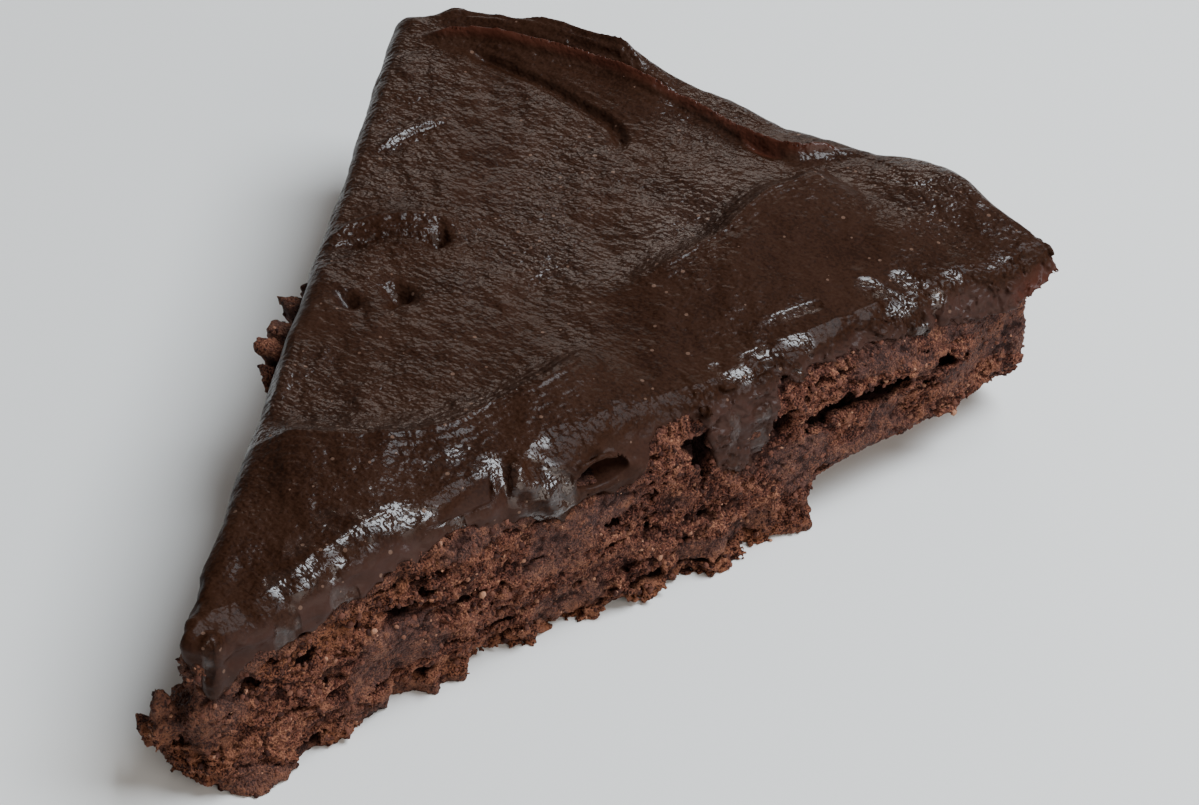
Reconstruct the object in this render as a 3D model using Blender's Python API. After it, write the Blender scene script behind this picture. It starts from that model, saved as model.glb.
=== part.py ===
"""A wedge of one-layer chocolate cake under a thick coat of fudge frosting, resting on its base.

The slice is worked out around the centre of the whole cake, which is the tip of the wedge. There,
X runs across the slice, Y runs along it from the tip to the rim, and Z is up from the base. Both
pieces are nets of triangles over one lattice: row i of the lattice holds i + 1 points, so the rows
widen from the tip to the rim as the slice does.
"""

import math
from dataclasses import dataclass

import bpy
import numpy as np

MM = 0.001

# Driving dimensions
CAKE_RADIUS = 115 * MM
SLICE_ANGLE = math.radians(47)
SPONGE_HEIGHT = 20.6 * MM
FROSTING_TOP = 25.2 * MM
GAP = 0.3 * MM

# Where the tip of the wedge lies, so that the base stands centred on the origin
TIP = (-0.5 * MM, -57.6 * MM)

# Fineness: lattice rows, even, because the seat between the pieces has half as many
ROWS = 44
SEAT_ROWS = ROWS // 2

HALF_ANGLE = SLICE_ANGLE / 2
FRONT_OUT = np.array((math.cos(HALF_ANGLE), -math.sin(HALF_ANGLE)))
LEFT_OUT = np.array((-math.cos(HALF_ANGLE), -math.sin(HALF_ANGLE)))

# Sponge: its rim stands just inside the frosting's, and its seat starts inside the cut sides
SPONGE_RIM = CAKE_RADIUS - 1.2 * MM
RIM_NARROWING = 1.2 * MM
RIM_NARROWING_HEIGHT = 7 * MM
SEAT_INSET = 4.5 * MM
SEAT_DIP_AT_TIP = 0.27
SEAT_DIP_REACH = 17 * MM
WALL_LEVELS = (0.0, 0.06, 0.2, 0.38, 0.56, 0.66, 0.74, 0.84, 1.0)
FOOT_ROUNDING = 0.8 * MM
LEFT_LEAN = 2.0 * MM

# Unevenness along a side: (height, length of one radian, phase) of each wave
FRONT_WAVES = ((0.3 * MM, 3.1 * MM, 0.0),)
BASE_WAVES = ((0.6 * MM, 4.6 * MM, 0.6), (0.5 * MM, 1.9 * MM, 0.0))
LEFT_WAVES = ((0.3 * MM, 3.7 * MM, 1.0), (0.25 * MM, 8.3 * MM, 0.0))
RIM_WAVES = ((0.2 * MM, 2.7 * MM, 0.0), (0.35 * MM, 6.8 * MM, 0.0), (0.25 * MM, 2.8 * MM, 1.0))
SEAT_WAVES = ((0.3 * MM, 7.0 * MM, 0.0),)
RIM_LINE_WAVES = ((0.4 * MM, 7.3 * MM, 0.0),)
BASE_WAVE_HEIGHT = 9 * MM
BASE_SETBACK = 0.4 * MM

# Height at which sponge gives way to frosting on the front cut: (share of the radius, height)
FRONT_LINE = (
    (0.00, 12.3 * MM),
    (0.05, 12.8 * MM),
    (0.09, 16.0 * MM),
    (0.18, 19.8 * MM),
    (0.27, 22.4 * MM),
    (0.33, 22.6 * MM),
    (0.38, 17.8 * MM),
    (0.42, 20.4 * MM),
    (0.50, 23.8 * MM),
    (0.57, 23.8 * MM),
    (0.615, 13.8 * MM),
    (0.66, 22.6 * MM),
    (0.74, 21.2 * MM),
    (0.92, 20.4 * MM),
    (1.00, 20.8 * MM),
)
LEFT_LINE = (
    (0.00, 12.3 * MM),
    (0.05, 13.4 * MM),
    (0.14, 18.6 * MM),
    (0.34, 20.8 * MM),
    (0.52, 19.2 * MM),
    (0.70, 21.4 * MM),
    (1.00, 20.4 * MM),
)

RIM_LINE = 20.3 * MM

# The crumb nose that is left standing ahead of the frosting, at the foot of the tip
NOSE_BULGE = 5.2 * MM
NOSE_LENGTH = 10 * MM
NOSE_HEIGHT = 8.6 * MM
NOSE_SLOPE = 3.4 * MM
NOSE_AHEAD = 0.4 * MM

# How gently the break and the crack start and end along the cut
EASE = 3 * MM

# The base is broken away under the far end of the front cut, just past a tab that stands proud
BREAK_START = 80 * MM
BREAK_DEPTH = 8.5 * MM
BREAK_HEIGHT = 8.0 * MM
BREAK_PULL = 4 * BREAK_DEPTH
TAB_PROUD = 2.0 * MM
TAB_PLACE = BREAK_START - 2 * MM
TAB_WIDTH = 3 * MM

# A level crack in the front cut, and the crumb lost from the corner beside the rim
CRACK_START = 80 * MM
CRACK_END = 97 * MM
CRACK_LEVEL = 15.6 * MM
CRACK_DEPTH = 3.0 * MM
CRACK_HALF_HEIGHT = 1.3 * MM
CORNER_START = 101 * MM
CORNER_LENGTH = 9 * MM
CORNER_SHARE = 0.85
CORNER_SETBACK = 1.8 * MM

# Frosting: how it hangs over the sponge and rolls into its top
OVERHANG = 0.9 * MM
ROLL = 3.8 * MM
ROLL_ANGLES = (0, 24, 47, 69, 90)
LIP_THICKNESS = 0.5 * MM
CORNER_OVERHANG = 1.5 * MM
CORNER_PAST_RIM = 1.6 * MM
RIM_PULL_BACK = 0.4 * MM
TIP_OVERHANG = 1.1 * MM
TIP_OVERHANG_REACH = 60 * MM
FRONT_DROOP = 0.9 * MM
FRONT_DROOP_REACH = 6 * MM
STROKE_TAPER = 4 * MM
STROKE_END = 0.35
SHARP_EDGE = math.radians(50)


@dataclass(frozen=True)
class Stroke:
    """A mark of the spreading knife: a ridge, or a groove where its rise is negative.

    The path is (across, along) in shares of the cake's radius. The flanks are the ridge's widths to
    the left and to the right of the path.
    """

    path: tuple
    rise: float
    left_flank: float
    right_flank: float


@dataclass(frozen=True)
class Swell:
    """A broad rise of the frosting, or a hollow where its rise is negative."""

    centre: tuple
    spread: tuple
    rise: float


STROKES = (
    # Piled frosting along the rim, on the left
    Stroke(((-0.39, 0.93), (-0.31, 0.985), (-0.16, 0.99), (-0.115, 0.96)), 2.9 * MM, 2.6 * MM, 2.8 * MM),
    # Long ridge behind the hook
    Stroke(
        ((-0.36, 0.87), (-0.29, 0.913), (-0.20, 0.926), (-0.035, 0.926), (0.113, 0.922), (0.16, 0.96)),
        1.3 * MM,
        2.4 * MM,
        2.6 * MM,
    ),
    # Hooked groove that the knife turned in
    Stroke(
        ((-0.28, 0.893), (-0.20, 0.90), (-0.13, 0.883), (-0.07, 0.847), (-0.062, 0.80), (-0.12, 0.74)),
        -1.2 * MM,
        2.4 * MM,
        2.8 * MM,
    ),
    # Crest of the sheet on the right, above its deep pocket
    Stroke(
        ((0.07, 0.604), (0.109, 0.678), (0.126, 0.80), (0.139, 0.852), (0.145, 0.90)),
        1.5 * MM,
        2.6 * MM,
        15 * MM,
    ),
    Stroke(((0.121, 0.86), (0.113, 0.915)), -2.0 * MM, 2.6 * MM, 2.2 * MM),
    # Crest of the sheet that runs down to the tip
    Stroke(
        ((-0.096, 0.222), (-0.017, 0.278), (0.061, 0.356), (0.09, 0.47), (0.09, 0.53), (0.113, 0.557)),
        1.1 * MM,
        2.4 * MM,
        10 * MM,
    ),
    # Short marks near the left cut
    Stroke(((-0.278, 0.687), (-0.257, 0.73), (-0.235, 0.783)), 0.8 * MM, 2.2 * MM, 2.4 * MM),
    Stroke(((-0.226, 0.522), (-0.20, 0.565), (-0.157, 0.604), (-0.13, 0.609)), 1.0 * MM, 2.2 * MM, 2.4 * MM),
    Stroke(((-0.20, 0.435), (-0.104, 0.27)), 0.7 * MM, 2.2 * MM, 2.4 * MM),
)

SWELLS = (
    Swell((-0.30, 0.96), (0.16, 0.07), 0.9 * MM),
    Swell((0.02, 0.99), (0.10, 0.055), -2.4 * MM),
    Swell((0.27, 0.965), (0.07, 0.05), 2.4 * MM),
    Swell((0.40, 0.90), (0.05, 0.05), -0.5 * MM),
    Swell((-0.17, 0.80), (0.13, 0.09), -0.6 * MM),
    Swell((0.00, 0.62), (0.12, 0.20), -0.5 * MM),
    Swell((0.00, 0.05), (0.08, 0.10), -2.2 * MM),
)

# How far the frosting reaches past or short of the cake's radius: (bearing in degrees, reach)
RIM_REACH = (
    (-23.5, 1.6 * MM),
    (-15, 3.4 * MM),
    (-8, 2.0 * MM),
    (-4, -0.2 * MM),
    (6, -1.8 * MM),
    (14, 1.8 * MM),
    (19, 1.4 * MM),
    (23.5, 2.2 * MM),
)


def eased(share):
    """A share held between 0 and 1, easing in and out."""
    share = np.clip(share, 0.0, 1.0)
    return share * share * (3 - 2 * share)


def through(knots, where, scale=1.0):
    """A smooth line through (place, value) knots, read at each of `where`."""
    places = np.array([place for place, value in knots]) * scale
    values = np.array([value for place, value in knots])
    where = np.clip(where, places[0], places[-1])
    after = np.clip(np.searchsorted(places, where), 1, len(places) - 1)
    share = (where - places[after - 1]) / (places[after] - places[after - 1])
    return values[after - 1] + (values[after] - values[after - 1]) * eased(share)


def bump(value, centre, width):
    """A bell of height 1 at its centre."""
    return np.exp(-(((value - centre) / width) ** 2))


def lattice(rows):
    """The (row, place) pairs of a lattice, and its triangles, counter-clockwise from above."""
    nodes = [(i, j) for i in range(rows + 1) for j in range(i + 1)]
    index = {node: k for k, node in enumerate(nodes)}
    triangles = []
    for i in range(rows):
        for j in range(i + 1):
            triangles.append((index[i, j], index[i + 1, j + 1], index[i + 1, j]))
            if j < i:
                triangles.append((index[i, j], index[i, j + 1], index[i + 1, j + 1]))
    return nodes, index, triangles


def border(rows):
    """The lattice's outer nodes, counter-clockwise: from the tip up the front cut, rim, left cut."""
    front = [(i, i) for i in range(rows)]
    rim = [(rows, j) for j in range(rows, 0, -1)]
    left = [(i, 0) for i in range(rows, 0, -1)]
    return front + rim + left


def spread_out(nodes, rows, inset, rim):
    """Plan places of lattice nodes over the wedge, drawn in by `inset` from its sides."""
    i = np.array([node[0] for node in nodes], dtype=float)
    j = np.array([node[1] for node in nodes], dtype=float)
    bearing = (2 * j / np.maximum(i, 1) - 1) * HALF_ANGLE * (i > 0)
    tip = inset / math.sin(HALF_ANGLE)
    edge = rim(bearing) - inset
    reach = -tip * np.cos(bearing) + np.sqrt(edge**2 - (tip * np.sin(bearing)) ** 2)
    run = reach * i / rows
    return np.stack((run * np.sin(bearing), tip + run * np.cos(bearing)), axis=1)


def ripple(waves, place):
    """The sum of some waves at each place."""
    return sum(height * np.sin(place / length + phase) for height, length, phase in waves)


def sponge_rim(bearing):
    """Radius of the baked rim: a nearly true arc."""
    return SPONGE_RIM + ripple(RIM_WAVES, bearing * CAKE_RADIUS)


def frosting_rim(bearing):
    """Radius of the frosting's edge over the rim."""
    return CAKE_RADIUS + through(RIM_REACH, np.degrees(bearing))


def sides():
    """Each border node's plan place, distance from the tip, shares of the sides, and way to the rim."""
    nodes = border(ROWS)
    plan = spread_out(nodes, ROWS, 0.0, sponge_rim)
    front = np.array([float(i == j) for i, j in nodes])
    left = np.array([float(j == 0) for i, j in nodes])
    rim = np.array([float(i == ROWS) for i, j in nodes])
    distance = np.linalg.norm(plan, axis=1)
    radial = plan / np.maximum(distance, MM)[:, None]
    shares = (front, left, rim)
    return plan, distance, shares, radial


def break_depth(run, height):
    """How far the base is broken away behind the front cut."""
    return BREAK_DEPTH * eased((run - BREAK_START) / EASE) * (1 - eased(height / BREAK_HEIGHT))


def front_bulge(run, height):
    """How far the front cut stands out of its plane, `run` from the tip and `height` up."""
    near_base = np.clip(1 - height / BASE_WAVE_HEIGHT, 0, 1)
    tab = TAB_PROUD * bump(run, TAB_PLACE, TAB_WIDTH)
    wave = ripple(FRONT_WAVES, run + height) + near_base * (ripple(BASE_WAVES, run) + tab - BASE_SETBACK)
    along_crack = eased((run - CRACK_START) / EASE) * eased((CRACK_END - run) / EASE)
    crack = CRACK_DEPTH * along_crack * bump(height, CRACK_LEVEL, CRACK_HALF_HEIGHT)
    corner = CORNER_SETBACK * eased((run - CORNER_START) / CORNER_LENGTH)
    return wave - break_depth(run, height) - crack - corner


def left_bulge(run, height):
    """How far the left cut stands out of its plane: it leans out towards its base."""
    lean = LEFT_LEAN * (1 - height / SPONGE_HEIGHT)
    nose = NOSE_BULGE * bump(run, 0, NOSE_LENGTH) * (1 - eased((height - NOSE_HEIGHT) / NOSE_SLOPE))
    return lean + nose + ripple(LEFT_WAVES, run + height)


def rim_bulge(bearing, height):
    """How far the baked rim stands out: it narrows a little towards its base."""
    narrowing = RIM_NARROWING * (1 - eased(height / RIM_NARROWING_HEIGHT))
    return -narrowing - CORNER_SETBACK * corner_share(bearing)


def corner_share(bearing):
    """0 along most of the rim, easing to 1 at the corner with the front cut."""
    return eased((bearing / HALF_ANGLE - CORNER_SHARE) / (1 - CORNER_SHARE))


def line_heights(distance, shares):
    """Height of the sponge's top edge at each border node."""
    front, left, rim = shares
    on_front = through(FRONT_LINE, distance, CAKE_RADIUS)
    on_left = through(LEFT_LINE, distance, CAKE_RADIUS)
    on_rim = RIM_LINE + ripple(RIM_LINE_WAVES, np.arange(len(distance)) * CAKE_RADIUS / ROWS)
    share = front + left + rim
    return (front * on_front + left * on_left + rim * on_rim) / share


def sponge_loop(level):
    """One closed line around the sponge's wall, `level` of the way up from base to top edge."""
    plan, distance, shares, radial = sides()
    front, left, rim = shares
    height = line_heights(distance, shares) * level
    bearing = np.arctan2(plan[:, 0], np.maximum(plan[:, 1], MM))
    foot = FOOT_ROUNDING * (level == 0.0)
    out = (front * (front_bulge(distance, height) - foot))[:, None] * FRONT_OUT
    out = out + (left * (left_bulge(distance, height) - foot))[:, None] * LEFT_OUT
    out = out + (rim * (rim_bulge(bearing, height) - foot))[:, None] * radial
    place = plan + out
    from_front = -(plan @ FRONT_OUT)
    behind_break = rim * (1 - front) * np.clip(1 - from_front / BREAK_PULL, 0, 1)
    place -= (behind_break * break_depth(distance, height))[:, None] * FRONT_OUT
    ahead = 1 - eased((height[0] - NOSE_HEIGHT) / NOSE_SLOPE)
    place[0] = (place[-1] + place[1]) / 2 - np.array((0.0, NOSE_AHEAD * ahead))
    place[0] += (1 - ahead) * (plan[0] - place[0]) / 2
    return np.column_stack((place, height))


def seat():
    """The surface that the frosting lies on: its places, and its triangles seen from above.

    The first places are the top edge of the sponge's wall, and the rest a coarser lattice inside it.
    """
    edge = sponge_loop(1.0)
    nodes, index, triangles = lattice(SEAT_ROWS)
    plan = spread_out(nodes, SEAT_ROWS, SEAT_INSET, sponge_rim)
    distance = np.linalg.norm(plan, axis=1)
    dip = 1 - SEAT_DIP_AT_TIP * bump(distance, 0, SEAT_DIP_REACH)
    wave = ripple(SEAT_WAVES, plan.sum(axis=1))
    inner = np.column_stack((plan, SPONGE_HEIGHT * dip + wave))
    count = len(edge)
    faces = [tuple(count + corner for corner in triangle) for triangle in triangles]
    coarse = [count + index[node] for node in border(SEAT_ROWS)]
    for k in range(len(coarse)):
        near, far = coarse[k], coarse[(k + 1) % len(coarse)]
        first, middle, last = 2 * k, 2 * k + 1, (2 * k + 2) % count
        faces += [(first, middle, near), (middle, far, near), (middle, last, far)]
    return np.vstack((edge, inner)), faces


def stroke_height(stroke, places):
    """Height that one stroke adds at each plan place."""
    path = np.array(stroke.path) * CAKE_RADIUS
    nearest = np.full(len(places), np.inf)
    offset = np.zeros(len(places))
    run = np.zeros(len(places))
    lengths = np.linalg.norm(np.diff(path, axis=0), axis=1)
    for k, length in enumerate(lengths):
        way = (path[k + 1] - path[k]) / length
        apart = places - path[k]
        along = np.clip(apart @ way, 0, length)
        miss = apart - along[:, None] * way
        distance = np.linalg.norm(miss, axis=1)
        closer = distance < nearest
        nearest = np.where(closer, distance, nearest)
        turn = way[0] * apart[:, 1] - way[1] * apart[:, 0]
        offset = np.where(closer, np.sign(turn) * distance, offset)
        run = np.where(closer, lengths[:k].sum() + along, run)
    flank = np.where(offset > 0, stroke.left_flank, stroke.right_flank)
    from_end = np.minimum(run, lengths.sum() - run)
    fade = STROKE_END + (1 - STROKE_END) * eased(from_end / STROKE_TAPER)
    return stroke.rise * fade * bump(offset, 0, flank)


def frosting_height(places):
    """Height of the frosting's top at each plan place."""
    height = np.full(len(places), FROSTING_TOP)
    for stroke in STROKES:
        height += stroke_height(stroke, places)
    for swell in SWELLS:
        apart = (places / CAKE_RADIUS - swell.centre) / swell.spread
        height += swell.rise * np.exp(-(apart**2).sum(axis=1))
    to_front = -(places @ FRONT_OUT)
    return height - FRONT_DROOP * np.exp(-to_front / FRONT_DROOP_REACH)


def frosting_loops(edge, crown):
    """Closed lines up the frosting's edge, from the sponge's top edge to the border of its crown."""
    plan, distance, shares, radial = sides()
    front, left, rim = shares
    bearing = np.arctan2(plan[:, 0], np.maximum(plan[:, 1], MM))
    out = front[:, None] * FRONT_OUT + left[:, None] * LEFT_OUT + rim[:, None] * radial
    along_front = front * eased((distance - CORNER_START) / CORNER_LENGTH)
    along_rim = rim * corner_share(bearing)
    past_rim = rim * np.maximum(frosting_rim(bearing) - CAKE_RADIUS, -RIM_PULL_BACK)
    near_tip = left * bump(distance, 0, TIP_OVERHANG_REACH)
    overhang = OVERHANG + CORNER_OVERHANG * along_front + TIP_OVERHANG * near_tip
    at_corner = np.maximum(front, left) * rim
    overhang += (CORNER_PAST_RIM * along_rim + past_rim) * (1 - at_corner / 2)
    lip = edge[:, :2] + out * overhang[:, None]
    lip_height = edge[:, 2] + GAP + LIP_THICKNESS
    loops = []
    for angle in ROLL_ANGLES[:-1]:
        inward = 1 - math.cos(math.radians(angle))
        rise = math.sin(math.radians(angle))
        place = lip * (1 - inward) + crown[:, :2] * inward
        height = lip_height + (crown[:, 2] - lip_height) * rise
        loops.append(np.column_stack((place, height)))
    return loops


def material(name, colour, roughness):
    """A plain finish for one piece."""
    finish = bpy.data.materials.new(name)
    finish.use_nodes = True
    shader = finish.node_tree.nodes["Principled BSDF"]
    shader.inputs["Base Color"].default_value = (*colour, 1.0)
    shader.inputs["Roughness"].default_value = roughness
    shader.inputs["Metallic"].default_value = 0.0
    finish.diffuse_color = (*colour, 1.0)
    return finish


def wall(lower, upper):
    """Triangles between two closed lines of node numbers that both run counter-clockwise."""
    faces = []
    count = len(lower)
    for k in range(count):
        after = (k + 1) % count
        faces.append((lower[k], lower[after], upper[after]))
        faces.append((lower[k], upper[after], upper[k]))
    return faces


def add_object(name, places, faces, finish):
    """One closed object, moved so that the slice stands centred on the origin."""
    places = places + np.array((TIP[0], TIP[1], 0.0))
    mesh = bpy.data.meshes.new(name)
    mesh.from_pydata(places.tolist(), [], faces)
    mesh.materials.append(finish)
    mesh.shade_smooth()
    mesh.set_sharp_from_angle(angle=SHARP_EDGE)
    thing = bpy.data.objects.new(name, mesh)
    bpy.context.scene.collection.objects.link(thing)
    return thing


def numbered(first, count):
    """Node numbers of one closed line."""
    return list(range(first, first + count))


def make_sponge():
    """The sponge: a flat base, an uneven wall and the seat for the frosting."""
    seat_places, seat_faces = seat()
    loops = [sponge_loop(level) for level in WALL_LEVELS[:-1]]
    count = len(loops[0])
    places = np.vstack([seat_places, *loops])
    first = len(seat_places)
    rings = [numbered(first + count * k, count) for k in range(len(loops))] + [numbered(0, count)]
    faces = list(seat_faces)
    for lower, upper in zip(rings, rings[1:]):
        faces += wall(lower, upper)
    faces.append(tuple(reversed(rings[0])))
    return add_object("sponge", places, faces, material("sponge_crumb", (0.105, 0.042, 0.028), 0.92))


def make_frosting():
    """The frosting: an underside that follows the seat, a rolled edge and a spread top."""
    seat_places, seat_faces = seat()
    under = seat_places + np.array((0.0, 0.0, GAP))
    nodes, index, triangles = lattice(ROWS)
    plan = spread_out(nodes, ROWS, ROLL, frosting_rim)
    crown = np.column_stack((plan, frosting_height(plan)))
    rim_nodes = [index[node] for node in border(ROWS)]
    count = len(rim_nodes)
    loops = frosting_loops(seat_places[:count], crown[rim_nodes])
    places = np.vstack([under, crown, *loops])
    first_crown = len(under)
    first_loop = first_crown + len(crown)
    rings = [numbered(0, count)]
    rings += [numbered(first_loop + count * k, count) for k in range(len(loops))]
    rings.append([first_crown + k for k in rim_nodes])
    faces = [tuple(reversed(face)) for face in seat_faces]
    for lower, upper in zip(rings, rings[1:]):
        faces += wall(lower, upper)
    faces += [tuple(first_crown + corner for corner in triangle) for triangle in triangles]
    return add_object("frosting", places, faces, material("fudge_frosting", (0.034, 0.016, 0.011), 0.34))


def main():
    """Clears the scene and makes both pieces."""
    for thing in list(bpy.data.objects):
        bpy.data.objects.remove(thing, do_unlink=True)
    make_sponge()
    make_frosting()


main()
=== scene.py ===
"""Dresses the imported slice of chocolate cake: open crumb, glossy fudge frosting and loose crumbs.

The slice is worked out around the tip of its wedge. `run` is the distance from the tip along a cut,
`depth` the distance behind the front cut, and `height` the distance above the base. Everything is in
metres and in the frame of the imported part.
"""

import logging
import math
from dataclasses import dataclass, field
from enum import Enum

import bpy
import numpy as np
from mathutils import Matrix, Vector


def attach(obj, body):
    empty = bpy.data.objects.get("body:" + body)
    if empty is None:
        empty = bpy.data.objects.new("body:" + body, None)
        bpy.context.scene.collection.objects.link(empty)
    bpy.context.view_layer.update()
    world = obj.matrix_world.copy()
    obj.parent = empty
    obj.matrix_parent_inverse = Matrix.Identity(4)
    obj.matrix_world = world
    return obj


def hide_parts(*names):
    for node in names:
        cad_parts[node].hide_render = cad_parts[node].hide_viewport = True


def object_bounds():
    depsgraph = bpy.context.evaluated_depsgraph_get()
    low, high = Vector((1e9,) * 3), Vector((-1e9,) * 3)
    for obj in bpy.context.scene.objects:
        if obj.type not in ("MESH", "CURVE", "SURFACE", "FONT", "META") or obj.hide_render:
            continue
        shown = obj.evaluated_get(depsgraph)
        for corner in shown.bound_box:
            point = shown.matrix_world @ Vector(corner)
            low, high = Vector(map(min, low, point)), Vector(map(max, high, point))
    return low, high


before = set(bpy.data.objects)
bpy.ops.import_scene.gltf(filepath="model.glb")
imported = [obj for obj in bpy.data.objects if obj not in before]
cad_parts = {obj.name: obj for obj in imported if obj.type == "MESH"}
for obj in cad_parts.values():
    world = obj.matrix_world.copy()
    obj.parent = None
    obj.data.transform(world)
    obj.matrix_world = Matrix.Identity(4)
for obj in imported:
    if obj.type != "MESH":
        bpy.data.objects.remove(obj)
CAD_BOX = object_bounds()
MM = 0.001
ON_PLANE = 1e-6
LOG = logging.getLogger("cake")


class Food(Enum):
    """The two solids of the part that the pieces stand in for, which are also its material slots."""

    SPONGE = "sponge"
    FROSTING = "frosting"


@dataclass(frozen=True)
class Wedge:
    """The slice's driving sizes, and its place in the frame."""

    radius: float = 115 * MM
    angle: float = math.radians(47)
    sponge_height: float = 20.6 * MM
    frosting_top: float = 25.2 * MM
    lean_start: float = 19.5 * MM
    lean_share: float = 0.42
    tip: Vector = field(
        default_factory=lambda: Vector((-0.5 * MM, CAD_BOX[0].y + 0.5 * MM, 0.0))
    )

    @property
    def half(self) -> float:
        """Half of the slice's angle."""
        return self.angle / 2

    def place(self, run: np.ndarray, depth: np.ndarray, height: np.ndarray) -> np.ndarray:
        """Turns (run along the front cut, depth behind it, height) into places in the frame.

        Args:
            run: distance from the tip along the front cut.
            depth: distance behind the front cut.
            height: distance above the base.

        Returns:
            One row of X, Y, Z for each entry.
        """
        along = np.array((math.sin(self.half), math.cos(self.half)))
        front_out = np.array((math.cos(self.half), -math.sin(self.half)))
        plan = np.outer(run, along) - np.outer(depth, front_out)
        return np.column_stack((plan + np.array(self.tip[:2]), height))

    def beside_left(self, run: np.ndarray, depth: np.ndarray) -> tuple:
        """Distance out of the left cut, and distance from the tip along it.

        Args:
            run: distance from the tip along the front cut.
            depth: distance behind the front cut.

        Returns:
            The two distances, the first below zero inside the slice.
        """
        out = depth * math.cos(self.angle) - run * math.sin(self.angle)
        return out, run * math.cos(self.angle) + depth * math.sin(self.angle)

    def across_along(self, run: np.ndarray, depth: np.ndarray) -> tuple:
        """Distance to the right of the slice's middle line, and from the tip along it.

        Args:
            run: distance from the tip along the front cut.
            depth: distance behind the front cut.

        Returns:
            The two distances.
        """
        across = run * math.sin(self.half) - depth * math.cos(self.half)
        return across, run * math.cos(self.half) + depth * math.sin(self.half)

    def leaning(self, height: np.ndarray) -> np.ndarray:
        """How far the knife left each cut behind its plane, where it leans back into the frosting."""
        return self.lean_share * np.maximum(height - self.lean_start, 0)


WEDGE = Wedge()


def eased(share: np.ndarray) -> np.ndarray:
    """A share held between 0 and 1, easing in and out."""
    share = np.clip(share, 0.0, 1.0)
    return share * share * (3 - 2 * share)


def bell(value: np.ndarray, centre: float, width: float) -> np.ndarray:
    """A bell of height 1 at its centre."""
    return np.exp(-(((value - centre) / width) ** 2))


def metres(value: object) -> object:
    """A number of millimetres, or a tuple of them to any depth, turned into metres."""
    return tuple(metres(part) for part in value) if isinstance(value, tuple) else value * MM


def knots_in_metres(*knots: tuple) -> tuple:
    """Knots of a line whose values are given in millimetres."""
    return tuple((place, value * MM) for place, value in knots)


def between(knots: tuple, where: np.ndarray, scale: float = 1.0) -> np.ndarray:
    """A smooth line through knots, level at each of them.

    Args:
        knots: the (place, value) pairs, in order.
        where: the places to read the line at.
        scale: what one unit of the knots' places measures.

    Returns:
        The line's value at each place.
    """
    places = np.array([place for place, value in knots]) * scale
    values = np.array([value for place, value in knots])
    where = np.clip(where, places[0], places[-1])
    after = np.clip(np.searchsorted(places, where), 1, len(places) - 1)
    share = (where - places[after - 1]) / (places[after] - places[after - 1])
    return values[after - 1] + (values[after] - values[after - 1]) * eased(share)


def through(knots: tuple, distance: np.ndarray) -> np.ndarray:
    """A smooth line through (share of the radius, value) knots, at distances from the tip."""
    return between(knots, distance, WEDGE.radius)


@dataclass(frozen=True)
class Ramp:
    """A smooth change from 0 to 1 that begins at one place and takes a length."""

    start: float
    length: float

    def at(self, place: np.ndarray) -> np.ndarray:
        """The share of the change that is done at each place."""
        return eased((place - self.start) / self.length)


@dataclass(frozen=True)
class Noise:
    """Smooth random values in space, from -1 to 1, with one bump for each cell."""

    cell: tuple
    seed: int
    table_size: int = 48
    gain: float = 1.35

    def at(self, points: np.ndarray) -> np.ndarray:
        """The noise at each point.

        Args:
            points: rows of X, Y, Z.

        Returns:
            One value for each row.
        """
        rng = np.random.default_rng(self.seed)
        n = self.table_size
        table = rng.uniform(-1, 1, (n, n, n)).astype(np.float32)
        turn = Matrix.Rotation(rng.uniform(0.2, 1.2), 3, "Z")
        spot = (points @ np.array(turn).T) / np.array(self.cell) + rng.uniform(0, n, 3)
        low = np.floor(spot).astype(np.int64)
        share = (spot - low).astype(np.float32)
        share = share * share * share * (share * (share * 6 - 15) + 10)
        low %= n
        high = (low + 1) % n
        total = np.zeros(len(points), np.float32)
        for x_end in (0, 1):
            for y_end in (0, 1):
                for z_end in (0, 1):
                    ends = (x_end, y_end, z_end)
                    corner = [(high if end else low)[:, k] for k, end in enumerate(ends)]
                    weight = np.ones(len(points), np.float32)
                    for k, end in enumerate(ends):
                        weight = weight * (share[:, k] if end else 1 - share[:, k])
                    total += weight * table[corner[0], corner[1], corner[2]]
        return total * self.gain


@dataclass(frozen=True)
class Grains:
    """Scattered centres, one for each cell of space, such as crumb grains or bubbles."""

    cell: tuple
    seed: int
    table_size: int = 32

    def nearest(self, points: np.ndarray) -> tuple:
        """The nearest centre to each point.

        Args:
            points: rows of X, Y, Z.

        Returns:
            The distance in cells, and that centre's own random number from 0 to 1.
        """
        rng = np.random.default_rng(self.seed)
        n = self.table_size
        jitter = rng.uniform(0.1, 0.9, (n, n, n, 3)).astype(np.float32)
        own = rng.uniform(0, 1, (n, n, n)).astype(np.float32)
        spot = (points / np.array(self.cell)).astype(np.float32)
        low = np.floor(spot - 0.5).astype(np.int64)
        best = np.full(len(points), 9.0, np.float32)
        number = np.zeros(len(points), np.float32)
        for shift in np.ndindex(2, 2, 2):
            cell = low + np.array(shift)
            a, b, c = (cell % n).T
            apart = cell + jitter[a, b, c] - spot
            gap = np.sqrt((apart * apart).sum(axis=1)).astype(np.float32)
            closer = gap < best
            best = np.where(closer, gap, best)
            number = np.where(closer, own[a, b, c], number)
        return best, number


def combined(noises: tuple, points: np.ndarray) -> np.ndarray:
    """The sum of several noises at each point, from (size, noise) pairs."""
    return sum(size * noise.at(points) for size, noise in noises)


def dying(place: np.ndarray, start: float, length: float) -> np.ndarray:
    """A value of 1 up to its start that dies away past it."""
    return np.exp(-np.maximum(place - start, 0) / length)


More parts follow.
